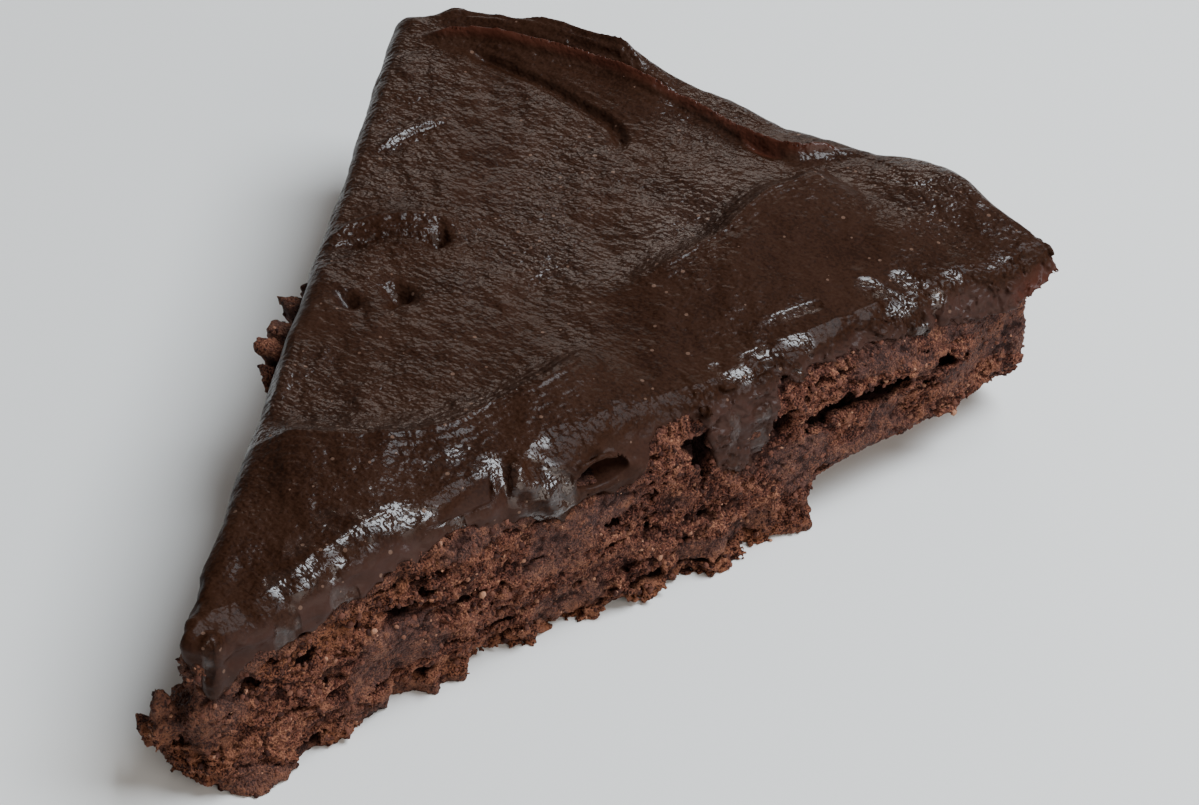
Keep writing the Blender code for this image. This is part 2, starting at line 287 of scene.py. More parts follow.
# Height at which sponge gives way to frosting on the front cut and on the left cut
FRONT_LINE = knots_in_metres(
    (0.000, 18.2), (0.012, 17.6), (0.022, 14.0), (0.036, 13.8), (0.052, 16.6), (0.070, 17.2), (0.090, 16.8),
    (0.125, 17.6), (0.175, 18.8), (0.240, 21.0), (0.295, 22.0), (0.320, 20.6), (0.350, 19.2), (0.385, 17.8),
    (0.405, 17.6), (0.425, 19.0), (0.465, 17.6), (0.490, 18.4), (0.510, 22.0), (0.530, 23.6), (0.570, 23.4),
    (0.583, 15.0), (0.605, 12.6), (0.630, 12.4), (0.648, 15.0), (0.662, 22.6), (0.700, 22.4), (0.780, 21.8),
    (0.860, 20.6), (0.940, 19.8), (1.000, 21.0),
)
LEFT_LINE = knots_in_metres(
    (0.000, 18.2), (0.140, 18.8), (0.340, 20.8), (0.520, 19.2), (0.700, 21.4), (1.000, 20.4),
)

# How far the foot of the front cut stands out of its plane
BASE_LINE = knots_in_metres(
    (0.000, 0.0), (0.022, 0.6), (0.050, 1.9), (0.090, 2.0), (0.113, 0.4), (0.145, 1.0), (0.170, 0.0),
    (0.205, -0.4), (0.218, -2.5), (0.236, -1.8), (0.256, 0.1), (0.268, -1.0), (0.290, -0.4), (0.310, -2.4),
    (0.334, -2.7), (0.364, -0.4), (0.385, -1.8), (0.418, -2.0), (0.455, -0.2), (0.490, 0.8), (0.522, 1.1),
    (0.548, 0.2), (0.587, 2.4), (0.606, 0.6), (0.634, -0.9), (0.656, 0.6), (0.690, 1.9), (0.704, 1.9),
    (0.730, 0.5), (0.790, -1.5), (0.850, -0.2), (0.905, 2.0), (0.960, 1.0), (1.000, 2.0),
)

# The line along the slice where the sheets of frosting on the right begin, across it in shares of the radius
CREST_LINE = (
    (0.200, -0.300), (0.230, -0.107), (0.256, -0.074), (0.294, -0.007), (0.323, 0.026), (0.350, 0.047),
    (0.384, 0.0565), (0.424, 0.074), (0.457, 0.087), (0.491, 0.090), (0.537, 0.0835), (0.604, 0.047),
    (0.652, 0.080), (0.711, 0.100), (0.752, 0.110), (0.791, 0.113), (0.832, 0.120), (0.859, 0.134),
    (0.919, 0.148), (0.935, 0.300),
)


def surface_nets(values: np.ndarray, corner: np.ndarray, step: float) -> tuple:
    """Draws the skin where a field of values crosses zero, from below zero inside it to above.

    Args:
        values: the field on a regular grid.
        corner: the place of its first value.
        step: the grid's spacing.

    Returns:
        The skin's vertices, and its faces of four corners, facing out.
    """
    inside = values < 0
    shape = np.array(values.shape)
    cells, places, quads, flips = [], [], [], []
    strides = np.array((shape[1] * shape[2], shape[2], 1))
    for axis in range(3):
        other = [k for k in range(3) if k != axis]
        first = [slice(None)] * 3
        second = [slice(None)] * 3
        first[axis], second[axis] = slice(None, -1), slice(1, None)
        for k in other:
            first[k] = second[k] = slice(1, -1)
        crossed = inside[tuple(first)] != inside[tuple(second)]
        spot = np.argwhere(crossed)
        spot[:, other] += 1
        near = values[tuple(spot.T)]
        beyond = spot.copy()
        beyond[:, axis] += 1
        far = values[tuple(beyond.T)]
        place = spot.astype(float)
        place[:, axis] += near / (near - far)
        around = []
        for back_one, back_two in ((0, 0), (1, 0), (1, 1), (0, 1)):
            cell = spot.copy()
            cell[:, other[0]] -= back_one
            cell[:, other[1]] -= back_two
            around.append(cell @ strides)
        cells.append(np.concatenate(around))
        places.append(np.tile(place, (4, 1)))
        quads.append(np.stack(around, axis=1))
        flips.append((near < 0) != (axis == 1))
    cells, places = np.concatenate(cells), np.concatenate(places)
    used, index = np.unique(cells, return_inverse=True)
    count = np.bincount(index)
    mean = np.stack([np.bincount(index, places[:, k]) / count for k in range(3)], axis=1)
    quads, flips = np.concatenate(quads), np.concatenate(flips)
    faces = np.searchsorted(used, quads)
    faces[flips] = faces[flips][:, ::-1]
    return mean * step + corner, faces


def new_piece(name: str, vertices: np.ndarray, faces: list, smooth: bool = True) -> bpy.types.Object:
    """Makes a mesh piece and links it to the scene.

    Args:
        name: the piece's name.
        vertices: rows of X, Y, Z in the frame.
        faces: corner numbers of each face.
        smooth: whether its faces are shaded smooth.

    Returns:
        The new piece.
    """
    mesh = bpy.data.meshes.new(name)
    mesh.from_pydata(vertices.tolist(), [], faces)
    mesh.update()
    if smooth:
        mesh.shade_smooth()
    piece = bpy.data.objects.new(name, mesh)
    bpy.context.scene.collection.objects.link(piece)
    return piece


def paint_values(piece: bpy.types.Object, name: str, values: np.ndarray) -> None:
    """Stores one number for each vertex, which a finish can read by its name."""
    layer = piece.data.attributes.new(name, "FLOAT", "POINT")
    layer.data.foreach_set("value", values.astype(np.float32))


class Nodes:
    """Short ways to place and join shader nodes in one tree."""

    def __init__(self, tree: bpy.types.NodeTree) -> None:
        """Keeps the tree that nodes are placed in."""
        self.tree = tree

    def put(self, kind: str, **sockets: object) -> bpy.types.Node:
        """Places a node and sets or joins its inputs.

        Args:
            kind: the node's type, without its ShaderNode prefix.
            **sockets: settings of the node, or inputs by name with _ for a space. An input takes a
                number, a colour or another node's output.

        Returns:
            The new node.
        """
        node = self.tree.nodes.new("ShaderNode" + kind)
        for name, value in sockets.items():
            if hasattr(node, name) and name not in node.inputs:
                setattr(node, name, value)
                continue
            slot = node.inputs[int(name[2:])] if name[:2] == "in" else node.inputs[name.replace("_", " ")]
            if isinstance(value, bpy.types.NodeSocket):
                self.tree.links.new(value, slot)
            else:
                slot.default_value = value
        return node

    def join(self, output: bpy.types.NodeSocket, inlet: bpy.types.NodeSocket) -> None:
        """Joins an output to an input."""
        self.tree.links.new(output, inlet)

    def maths(self, operation: str, first: object, second: object = 0.0) -> bpy.types.NodeSocket:
        """One sum of two values, and its result."""
        return self.put("Math", operation=operation, in0=first, in1=second).outputs[0]

    def blend(self, share: object, first: object, second: object) -> bpy.types.NodeSocket:
        """A mix of two colours, and its result."""
        node = self.put("Mix", data_type="RGBA", in0=share, in6=first, in7=second)
        return node.outputs[2]

    def ramp(self, value: bpy.types.NodeSocket, low: float, high: float) -> bpy.types.NodeSocket:
        """A value stretched so that low becomes 0 and high becomes 1, and held between them."""
        node = self.put("MapRange", in0=value, in1=low, in2=high, interpolation_type="SMOOTHSTEP")
        return node.outputs[0]

    def value(self, name: str) -> bpy.types.NodeSocket:
        """The number that each vertex holds under a name."""
        return self.put("Attribute", attribute_name=name).outputs["Fac"]


def new_group(name: str, inputs: dict, outputs: dict) -> tuple:
    """Starts a shader node group.

    Args:
        name: the group's name.
        inputs: default numbers or colours by input name.
        outputs: socket types by output name.

    Returns:
        The tree, its Nodes, and its input and output nodes.
    """
    tree = bpy.data.node_groups.new(name, "ShaderNodeTree")
    for label, default in inputs.items():
        kind = "NodeSocketColor" if isinstance(default, tuple) else "NodeSocketFloat"
        tree.interface.new_socket(label, in_out="INPUT", socket_type=kind).default_value = default
    for label, kind in outputs.items():
        tree.interface.new_socket(label, in_out="OUTPUT", socket_type=kind)
    return tree, Nodes(tree), tree.nodes.new("NodeGroupInput"), tree.nodes.new("NodeGroupOutput")


def new_material(name: str, roughness: float, specular: float = 0.5) -> tuple:
    """Starts a material.

    Args:
        name: the material's name.
        roughness: how rough it is all over.
        specular: how much light its bare surface mirrors.

    Returns:
        The material, its Nodes and the inputs of its shader.
    """
    material = bpy.data.materials.new(name)
    material.use_nodes = True
    shader = material.node_tree.nodes["Principled BSDF"]
    shader.inputs["Roughness"].default_value = roughness
    shader.inputs["Specular IOR Level"].default_value = specular
    return material, Nodes(material.node_tree), shader.inputs


class Effects:
    """The shader node groups that several finishes share, each built once."""

    def __init__(self) -> None:
        """Builds the groups."""
        self.speckle = self._speckle()
        self.relief = self._relief()
        self.flecks = self._flecks()

    @staticmethod
    def _speckle() -> bpy.types.NodeTree:
        """A mottled colour: three tones mixed by coarse and fine noise, with small light specks.

        Returns:
            The group, which also puts out the tone from 0 to 1.
        """
        tree, nodes, given, out = new_group(
            "speckle",
            {
                "Dark": (0.03, 0.012, 0.008, 1.0),
                "Middle": (0.1, 0.04, 0.03, 1.0),
                "Light": (0.2, 0.1, 0.06, 1.0),
                "Coarse": 300.0,
                "Fine": 1500.0,
                "Specks": 0.5,
            },
            {"Color": "NodeSocketColor", "Tone": "NodeSocketFloat"},
        )
        place = nodes.put("TexCoord").outputs["Object"]
        coarse = nodes.put("TexNoise", Vector=place, Scale=given.outputs["Coarse"], Detail=3.0)
        fine = nodes.put("TexNoise", Vector=place, Scale=given.outputs["Fine"], Detail=2.0)
        tone = nodes.maths("MULTIPLY", fine.outputs[0], 0.6)
        tone = nodes.maths("ADD", tone, nodes.maths("MULTIPLY", coarse.outputs[0], 0.4))
        low = nodes.blend(nodes.ramp(tone, 0.41, 0.50), given.outputs["Dark"], given.outputs["Middle"])
        speck = nodes.maths("MULTIPLY", nodes.ramp(tone, 0.535, 0.62), given.outputs["Specks"])
        nodes.join(nodes.blend(speck, low, given.outputs["Light"]), out.inputs["Color"])
        nodes.join(tone, out.inputs["Tone"])
        return tree

    @staticmethod
    def _relief() -> bpy.types.NodeTree:
        """Fine unevenness: two noises of given sizes.

        Returns:
            The group, which puts out a height.
        """
        tree, nodes, given, out = new_group(
            "relief",
            {"Coarse": 900.0, "Fine": 3000.0, "Share": 0.5, "Detail": 2.5},
            {"Height": "NodeSocketFloat"},
        )
        place = nodes.put("TexCoord").outputs["Object"]
        detail = given.outputs["Detail"]
        coarse = nodes.put("TexNoise", Vector=place, Scale=given.outputs["Coarse"], Detail=detail)
        fine = nodes.put("TexNoise", Vector=place, Scale=given.outputs["Fine"], Detail=detail)
        height = nodes.put(
            "Mix", data_type="FLOAT", in0=given.outputs["Share"], in2=coarse.outputs[0], in3=fine.outputs[0]
        )
        nodes.join(height.outputs[0], out.inputs["Height"])
        return tree

    @staticmethod
    def _flecks() -> bpy.types.NodeTree:
        """Small round flecks scattered over a surface.

        Returns:
            The group, which puts out a mask.
        """
        tree, nodes, given, out = new_group(
            "flecks", {"Spacing": 400.0, "Size": 0.1}, {"Mask": "NodeSocketFloat"}
        )
        place = nodes.put("TexCoord").outputs["Object"]
        cells = nodes.put("TexVoronoi", Vector=place, Scale=given.outputs["Spacing"])
        own = nodes.put("SeparateColor", Color=cells.outputs["Color"])
        size = nodes.maths("MULTIPLY", given.outputs["Size"], nodes.maths("ADD", own.outputs[1], 0.5))
        inside = nodes.maths("LESS_THAN", cells.outputs["Distance"], size)
        chosen = nodes.maths("GREATER_THAN", own.outputs[0], 0.45)
        nodes.join(nodes.maths("MULTIPLY", inside, chosen), out.inputs["Mask"])
        return tree


@dataclass(frozen=True)
class CrumbFinish:
    """Dry open crumb, mottled reddish brown and paler where it baked drier; painted shade in pores, painted
    light on grain tips and nose.
    """

    name: str = "sponge_crumb"
    dark: tuple = (0.0165, 0.0038, 0.0024, 1.0)
    middle: tuple = (0.112, 0.0375, 0.0245, 1.0)
    light: tuple = (0.30, 0.135, 0.077, 1.0)
    # painted shade: near-black colour laid down in pores, hollows and deep grains, where shade falls
    pore_shade: tuple = (0.009, 0.0016, 0.0010, 1.0)
    # painted highlight: the crest colour lightens grain tips that stand proud of the skin, as if lit
    crest: tuple = (0.185, 0.074, 0.042, 1.0)
    # darker colour for a thin band just under the frosting line
    dark_below_line: tuple = (0.034, 0.016, 0.012, 1.0)
    pressed: tuple = (0.055, 0.031, 0.028, 1.0)
    # paler orange tone where the crumb baked drier, also used as painted light on the nose of the slice
    baked_and_lit: tuple = (0.205, 0.076, 0.034, 1.0)
    mottle: tuple = (420.0, 4300.0)
    specks: float = 0.9
    grain: tuple = (1800.0, 4300.0)
    roughness: float = 0.75
    specular: float = 0.12
    bump: float = 0.8 * MM

    def make(self, effects: Effects) -> bpy.types.Material:
        """Builds the material.

        Args:
            effects: the shared node groups.

        Returns:
            The material, which reads the values painted on the sponge.
        """
        material, nodes, shader = new_material(self.name, self.roughness, self.specular)
        speckle = nodes.put(
            "Group", node_tree=effects.speckle, Dark=self.dark, Middle=self.middle, Light=self.light,
            Coarse=self.mottle[0], Fine=self.mottle[1], Specks=self.specks,
        )
        tone, sunk = speckle.outputs["Tone"], nodes.value("sunk")
        baked_and_lit = nodes.maths("MULTIPLY", nodes.value("baked_and_lit"), nodes.ramp(tone, 0.40, 0.58))
        # painted highlight on the grain tips that stand proud of the skin
        lit_tips = nodes.maths("MULTIPLY", nodes.ramp(sunk, 0.0, -0.55), nodes.ramp(tone, 0.38, 0.60))
        layers = (
            (nodes.maths("MULTIPLY", baked_and_lit, 0.75), self.baked_and_lit),
            (nodes.maths("MULTIPLY", nodes.value("pressed"), 0.55), self.pressed),
            (nodes.value("dark_below_line"), self.dark_below_line),
            (nodes.maths("MULTIPLY", lit_tips, 0.8), self.crest),
            # painted shade down in the deepest grains and in pores and hollows below the skin
            (nodes.maths("MULTIPLY", nodes.ramp(sunk, 0.05, 0.55), 0.85), self.pore_shade),
            (nodes.ramp(nodes.value("stand_out"), -0.35, -1.5), self.pore_shade),
        )
        colour = speckle.outputs["Color"]
        for share, over in layers:
            colour = nodes.blend(share, colour, over)
        relief = nodes.put(
            "Group", node_tree=effects.relief, Coarse=self.grain[0], Fine=self.grain[1], Share=0.5
        )
        bump = nodes.put("Bump", Strength=1.0, Distance=self.bump, Height=relief.outputs["Height"])
        nodes.join(colour, shader["Base Color"])
        nodes.join(bump.outputs[0], shader["Normal"])
        return material


@dataclass(frozen=True)
class GrainFinish:
    """Loose grains of crumb, each of its own tone from dark brown to pale tan."""

    name: str = "loose_crumb"
    dark: tuple = (0.030, 0.0095, 0.0065, 1.0)
    middle: tuple = (0.120, 0.045, 0.029, 1.0)
    light: tuple = (0.34, 0.17, 0.105, 1.0)
    grain: tuple = (3000.0, 6000.0)
    roughness: float = 0.7
    specular: float = 0.15
    bump: float = 0.2 * MM

    def make(self, effects: Effects) -> bpy.types.Material:
        """Builds the material.

        Args:
            effects: the shared node groups.

        Returns:
            The material, which reads each grain's own tone.
        """
        material, nodes, shader = new_material(self.name, self.roughness, self.specular)
        tone = nodes.value("tone")
        colour = nodes.blend(nodes.ramp(tone, 0.0, 0.8), self.dark, self.middle)
        colour = nodes.blend(nodes.ramp(tone, 0.90, 1.0), colour, self.light)
        relief = nodes.put(
            "Group", node_tree=effects.relief, Coarse=self.grain[0], Fine=self.grain[1], Share=0.5
        )
        bump = nodes.put("Bump", Strength=0.7, Distance=self.bump, Height=relief.outputs["Height"])
        nodes.join(colour, shader["Base Color"])
        nodes.join(bump.outputs[0], shader["Normal"])
        return material


@dataclass(frozen=True)
class FrostingFinish:
    """Fudge frosting with a half-gloss wrinkled skin, wet in streaks, and smoother where it was cut, where a
    painted sheen pales it.
    """

    name: str = "fudge_frosting"
    dark: tuple = (0.0150, 0.0050, 0.0022, 1.0)
    middle: tuple = (0.0235, 0.0087, 0.0042, 1.0)
    light: tuple = (0.050, 0.023, 0.014, 1.0)
    # paler tone of the cut faces, partly their own colour and partly a painted sheen: the grey reflection of
    # the plate painted in
    cut_and_sheen: tuple = (0.043, 0.0205, 0.0160, 1.0)
    fleck: tuple = (0.16, 0.094, 0.066, 1.0)
    fold: tuple = (0.060, 0.0155, 0.0085, 1.0)
    tint: tuple = (1.0, 0.975, 0.96, 1.0)
    mottle: tuple = (160.0, 2600.0)
    specks: float = 0.2
    fleck_spacing: float = 560.0
    fleck_size: float = 0.1
    wrinkle_scale: float = 1550.0
    wrinkle_stretch: tuple = (0.75, 1.0, 1.0)
    grain: tuple = (450.0, 1700.0)
    dry: float = 0.55
    wet: float = 0.21
    specular: float = 0.04
    wrinkle: float = 0.25 * MM
    swell: float = 0.50 * MM

    def make(self, effects: Effects) -> bpy.types.Material:
        """Builds the material.

        Args:
            effects: the shared node groups.

        Returns:
            The material, which reads the values painted on the frosting.
        """
        material, nodes, shader = new_material(self.name, self.dry, self.specular)
        speckle = nodes.put(
            "Group", node_tree=effects.speckle, Dark=self.dark, Middle=self.middle, Light=self.light,
            Coarse=self.mottle[0], Fine=self.mottle[1], Specks=self.specks,
        )
        flecks = nodes.put(
            "Group", node_tree=effects.flecks, Spacing=self.fleck_spacing, Size=self.fleck_size
        ).outputs["Mask"]
        # paler colour with a painted sheen on the cut faces and on the knife's flat
        cut_and_sheen = nodes.maths("MULTIPLY", nodes.value("cut_and_sheen"), 0.8)
        colour = nodes.blend(cut_and_sheen, speckle.outputs["Color"], self.cut_and_sheen)
        colour = nodes.blend(nodes.value("fold"), colour, self.fold)
        colour = nodes.blend(nodes.maths("MULTIPLY", flecks, 0.55), colour, self.fleck)
        place = nodes.put("TexCoord").outputs["Object"]
        place = nodes.put("Mapping", Vector=place, Scale=self.wrinkle_stretch).outputs[0]
        wrinkles = nodes.put("TexNoise", Vector=place, Scale=self.wrinkle_scale, Detail=1.5, Roughness=0.5)
        ripple = nodes.value("ripple")
        folds = nodes.maths("MULTIPLY", wrinkles.outputs[0], ripple)
        first = nodes.put("Bump", Strength=1.0, Distance=self.wrinkle, Height=folds)
        relief = nodes.put(
            "Group", node_tree=effects.relief, Coarse=self.grain[0], Fine=self.grain[1], Share=0.25,
            Detail=0.8,
        )
        bumps = nodes.maths("MULTIPLY", relief.outputs["Height"], ripple)
        bumps = nodes.maths("ADD", bumps, nodes.maths("MULTIPLY", flecks, 0.25))
        bump = nodes.put("Bump", Strength=1.0, Distance=self.swell, Height=bumps, Normal=first.outputs[0])
        nodes.join(colour, shader["Base Color"])
        nodes.join(bump.outputs[0], shader["Normal"])
        nodes.join(bump.outputs[0], shader["Coat Normal"])
        nodes.join(nodes.value("wet"), shader["Coat Weight"])
        shader["Coat Roughness"].default_value = self.wet
        shader["Coat Tint"].default_value = self.tint
        return material


@dataclass(frozen=True)
class Hollow:
    """A hole in the front cut: its middle, and its half sizes along, into and up the cut."""

    run: float
    height: float
    half: tuple
    depth: float = 0.0

    def inside(self, points: np.ndarray) -> np.ndarray:
        """How deep each point lies within the hole, below zero outside it.

        Args:
            points: rows of run, depth and height.

        Returns:
            One distance for each row.
        """
        apart = points - np.array((self.run, self.depth, self.height))
        scaled = np.sqrt(((apart / np.array(self.half)) ** 2).sum(axis=1))
        return (1 - scaled) * min(self.half)

    def near(self, run: np.ndarray, depth: np.ndarray, height: np.ndarray) -> np.ndarray:
        """Whether each place of a grid lies in the hole or close to it.

        Args:
            run: the grid's distances along the front cut.
            depth: its distances behind it.
            height: its heights.

        Returns:
            True or False for each place.
        """
        half = np.array(self.half) * 1.3 + 0.5 * MM
        apart = ((run - self.run) / half[0]) ** 2 + ((depth - self.depth) / half[1]) ** 2
        return apart + ((height - self.height) / half[2]) ** 2 < 1


@dataclass(frozen=True)
class Blob:
    """A rounded lump from one (run, depth, height) place to another."""

    start: tuple
    end: tuple
    thick: tuple

    def distance(self, points: np.ndarray) -> np.ndarray:
        """Distance outside the lump, below zero within it.

        Args:
            points: rows of run, depth and height.

        Returns:
            One distance for each row.
        """
        start, end = np.array(self.start), np.array(self.end)
        way = end - start
        share = np.clip((points - start) @ way / (way @ way), 0, 1)
        miss = np.linalg.norm(points - start - share[:, None] * way, axis=1)
        return miss - (self.thick[0] + (self.thick[1] - self.thick[0]) * share)

    def near(self, grid: tuple, reach: float, rise: float) -> np.ndarray:
        """Whether each place of a grid lies close to the lump's start.

        Args:
            grid: the grid's run, depth and height.
            reach: how far beside the start is close.
            rise: how far above or below it is close.

        Returns:
            True or False for each place.
        """
        apart = np.hypot(grid[0] - self.start[0], grid[1] - self.start[1])
        return (apart < reach) & (np.abs(grid[2] - self.start[2]) < rise)


def off_left_cut(run: float, out: float, height: float) -> tuple:
    """A (run, depth, height) place given by its run along the left cut, its distance out and its height.

    Args:
        run: distance from the tip along the left cut.
        out: distance out of the left cut.
        height: distance above the base.

    Returns:
        The place, in the unit that it was given in.
    """
    along = run * math.cos(WEDGE.angle) - out * math.sin(WEDGE.angle)
    return along, run * math.sin(WEDGE.angle) + out * math.cos(WEDGE.angle), height


def rounded(first: np.ndarray, second: np.ndarray, radius: np.ndarray) -> np.ndarray:
    """The larger of two distances, with the edge between them rounded off to a radius."""
    round_off = np.hypot(np.maximum(first + radius, 0), np.maximum(second + radius, 0)) - radius
    return np.where((first > -radius) & (second > -radius), round_off, np.maximum(first, second))


def melted(first: np.ndarray, second: np.ndarray, width: float) -> np.ndarray:
    """The smaller of two distances, melted together where they are close."""
    share = np.clip(0.5 + (second - first) / (2 * width), 0, 1)
    return second + (first - second) * share - width * share * (1 - share)


@dataclass
class FieldPiece:
    """A closed piece drawn through a field of distances, so that its skin can fold and undercut."""

    name: str
    low: tuple
    high: tuple
    step: float

    def grid(self) -> tuple:
        """The grid that the field is worked out on.

        Returns:
            Its corner, and its run, depth and height axes, ready to be combined.
        """
        low, high = np.array(self.low), np.array(self.high)
        counts = np.ceil((high - low) / self.step).astype(int) + 1
        axes = [low[k] + self.step * np.arange(counts[k]) for k in range(3)]
        return low, np.meshgrid(*axes, indexing="ij", sparse=True)

    def ends(self, axis: int) -> tuple:
        """Where the piece is cut off flat at both ends of one axis of its grid."""
        return self.low[axis] + 2 * self.step, self.high[axis] - 2 * self.step

    def skin(self, values: np.ndarray) -> tuple:
        """The skin through the field, as rows of run, depth and height, and its faces."""
        return self.whole(*surface_nets(values.astype(np.float32), np.array(self.low), self.step))

    @staticmethod
    def whole(vertices: np.ndarray, faces: np.ndarray) -> tuple:
        """Drops the bits that hang apart from the largest skin.

        Args:
            vertices: rows of run, depth and height.
            faces: rows of four corner numbers.

        Returns:
            The vertices and faces of the largest skin.
        """
        label = np.arange(len(vertices))
        while True:
            lowest = label[faces].min(axis=1)
            joined = label.copy()
            for k in range(4):
                np.minimum.at(joined, faces[:, k], lowest)
            joined = joined[joined]
            if (joined == label).all():
                break
            label = joined
        kept = label == np.bincount(label).argmax()
        return vertices[kept], (np.cumsum(kept) - 1)[faces[kept[faces[:, 0]]]]

    @staticmethod
    def close_up(faces: np.ndarray, hidden: np.ndarray) -> list:
        """Swaps the faces whose corners are all hidden for one flat face in each gap.

        Args:
            faces: rows of four corner numbers.
            hidden: whether each vertex is hidden.

        Returns:
            The faces to make.
        """
        gone = hidden[faces].all(axis=1)
        edges = np.concatenate([faces[gone][:, (k, (k + 1) % 4)] for k in range(4)])
        backward = {(int(b), int(a)) for a, b in edges}
        ahead = {int(a): int(b) for a, b in edges if (int(a), int(b)) not in backward}
        kept = faces[~gone].tolist()
        while ahead:
            start = next(iter(ahead))
            loop, spot = [], start
            while spot in ahead:
                loop.append(spot)
                spot = ahead.pop(spot)
            kept.append(loop)
        return kept


@dataclass(frozen=True)
class Pores:
    """Round pores of the crumb around scattered centres, with their sizes in millimetres."""

    centres: Grains
    least: float
    spread: float
    power: int
    size: float
    calm: float = 0.0

    def depth(self, points: np.ndarray, pressed: np.ndarray) -> np.ndarray:
        """How deep each point lies within a pore, below zero outside it.

        Args:
            points: rows of run, depth and height.
            pressed: how far the crumb is pressed smooth there.

        Returns:
            One distance for each row.
        """
        gap, own = self.centres.nearest(points)
        return (self.least + self.spread * own**self.power - gap - self.calm * pressed) * self.size * MM


@dataclass
class SpongeBlock(FieldPiece):
    """A block of the sponge between two depths behind the front cut.

    Its sizes come in groups: its edges and where it stands, its nose, the break at its foot, its worn
    corner, its rim, its seat for the frosting, and its crumb.
    """

    shell: float = 2.3 * MM
    hidden_behind: float = 1.5 * MM
    edge_radius: float = 1.2 * MM
    rim_radius: float = 1.5 * MM
    base_wave_height: float = 9 * MM
    left_lean: float = 2.0 * MM
    covered_ease: float = 1.2 * MM
    covered_setback: float = 0.45 * MM
    left_setback: float = 0.4 * MM
    left_covered: Ramp = Ramp(19 * MM, MM)

    nose_bulge: float = 5.2 * MM
    nose_length: float = 10 * MM
    nose_foot: Ramp = Ramp(0.0, 4 * MM)
    nose_top: Ramp = Ramp(7.5 * MM, 4.5 * MM)
    nose_ahead: float = 0.6 * MM
    nose_middle: float = 6.5 * MM
    nose_undercut: float = 1.7 * MM
    nose_round: float = 0.5 * MM

    break_depth: float = 8.5 * MM
    break_along: Ramp = Ramp(80.4 * MM, 1.8 * MM)
    break_up: Ramp = Ramp(0.0, 8.0 * MM)
    corner: Ramp = Ramp(101 * MM, 9 * MM)
    corner_setback: float = 1.8 * MM

    rim_inset: float = 1.2 * MM
    rim_narrowing: float = 1.2 * MM
    rim_low: Ramp = Ramp(0.0, 7 * MM)
    rim_fullness: float = 1.9 * MM
    rim_full_end: Ramp = Ramp(96 * MM, 12 * MM)

    seat: float = 4.5 * MM
    seat_gap: float = 0.3 * MM
    tip_dip: float = 0.27
    tip_dip_reach: float = 17 * MM
    edge_rise: float = 1.6 * MM
    edge_limit: float = 24.2 * MM
    flat_above: float = 14 * MM

    lump_size: float = 0.40 * MM
    lump_noise: Noise = Noise(metres((6, 6, 4)), 11)
    foot_height: float = 4 * MM
    foot_share: float = 0.7
    nose_reach: float = 6 * MM
    nose_share: float = 0.8
    calm_covered: float = 0.85
    calm_pressed: float = 0.6
    pores: tuple = (
        Pores(Grains(metres((4.6, 4.6, 3.4)), 41), 0.02, 0.20, 4, 3.4),
        Pores(Grains(metres((1.6, 1.6, 1.2)), 42), 0.08, 0.24, 2, 1.3, 0.14),
    )
    streaks: Noise = Noise(metres((4.6, 4.6, 0.9)), 51)
    streak_start: float = 0.66
    streak_calm: float = 0.3
    streak_size: float = 1.2
    warp: float = 0.45
    warp_cell: float = 1.5 * MM
    swing: float = 0.30 * MM
    swing_noise: Noise = Noise(metres((2.4, 2.4, 1.6)), 12)
    grains: tuple = (
        (Grains(metres((1.15, 1.15, 0.9)), 31), 0.75, 0.50),
        (Grains(metres((0.60, 0.60, 0.60)), 32), 0.42, 0.36),
    )
    pressing: Noise = Noise(metres((8, 8, 4)), 81)

    hollows: tuple = tuple(Hollow(*metres(sizes)) for sizes in (
        (86, 15.4, (6.2, 5, 1.5), 0.6),
        (91.5, 14.8, (4.0, 5, 1.7), 0.6),
        (100, 15.4, (2.0, 3, 0.8), 0.0),
        (25.5, 14.3, (2.0, 2.2, 1.2), 0.0),
        (28.6, 15.4, (1.3, 1.8, 0.7), 0.0),
        (20.8, 15.3, (1.0, 1.6, 0.8), 0.0),
        (7.0, 13.3, (1.6, 1.6, 0.7), 0.0),
        (9.0, 16.0, (1.0, 1.6, 0.9), 0.0),
        (14.0, 13.6, (1.2, 1.6, 0.6), 0.0),
        (65.2, 17.0, (1.2, 3, 3.2), 0.0),
        (63.6, 19.3, (1.8, 2.4, 0.9), 0.0),
        (76.8, 17.2, (1.3, 2.6, 1.5), 0.0),
        (77.5, 23.0, (1.6, 2.4, 1.2), 0.0),
        (58.3, 9.6, (1.3, 1.6, 0.7), 0.0),
        (44.5, 7.0, (1.6, 1.6, 0.9), 0.0),
    ))
    lumps: tuple = tuple(Blob(*metres(sizes)) for sizes in (
        ((-0.7, 4.6, 8.0), (-0.9, 4.9, 12.9), (1.7, 0.85)),
        ((-1.5, 6.4, 6.5), (-2.1, 7.9, 7.6), (1.6, 0.7)),
        ((2.6, 3.3, 14.6), (2.3, 2.6, 18.0), (1.5, 1.2)),
        (off_left_cut(47, 0.5, 17.5), off_left_cut(48, 3.6, 20.4), (2.0, 0.7)),
        (off_left_cut(51.5, 0.5, 16.5), off_left_cut(52.5, 4.4, 20.4), (2.6, 0.9)),
        (off_left_cut(56, 0.5, 17.0), off_left_cut(56.5, 4.6, 20.6), (2.2, 0.6)),
        (off_left_cut(60, 0.3, 17.5), off_left_cut(60.5, 3.4, 20.8), (2.2, 0.8)),
        (off_left_cut(64, 0.0, 18.0), off_left_cut(64, 2.4, 20.8), (1.6, 0.6)),
    ))
    lump_reach: float = 5 * MM
    lump_rise: float = 8 * MM

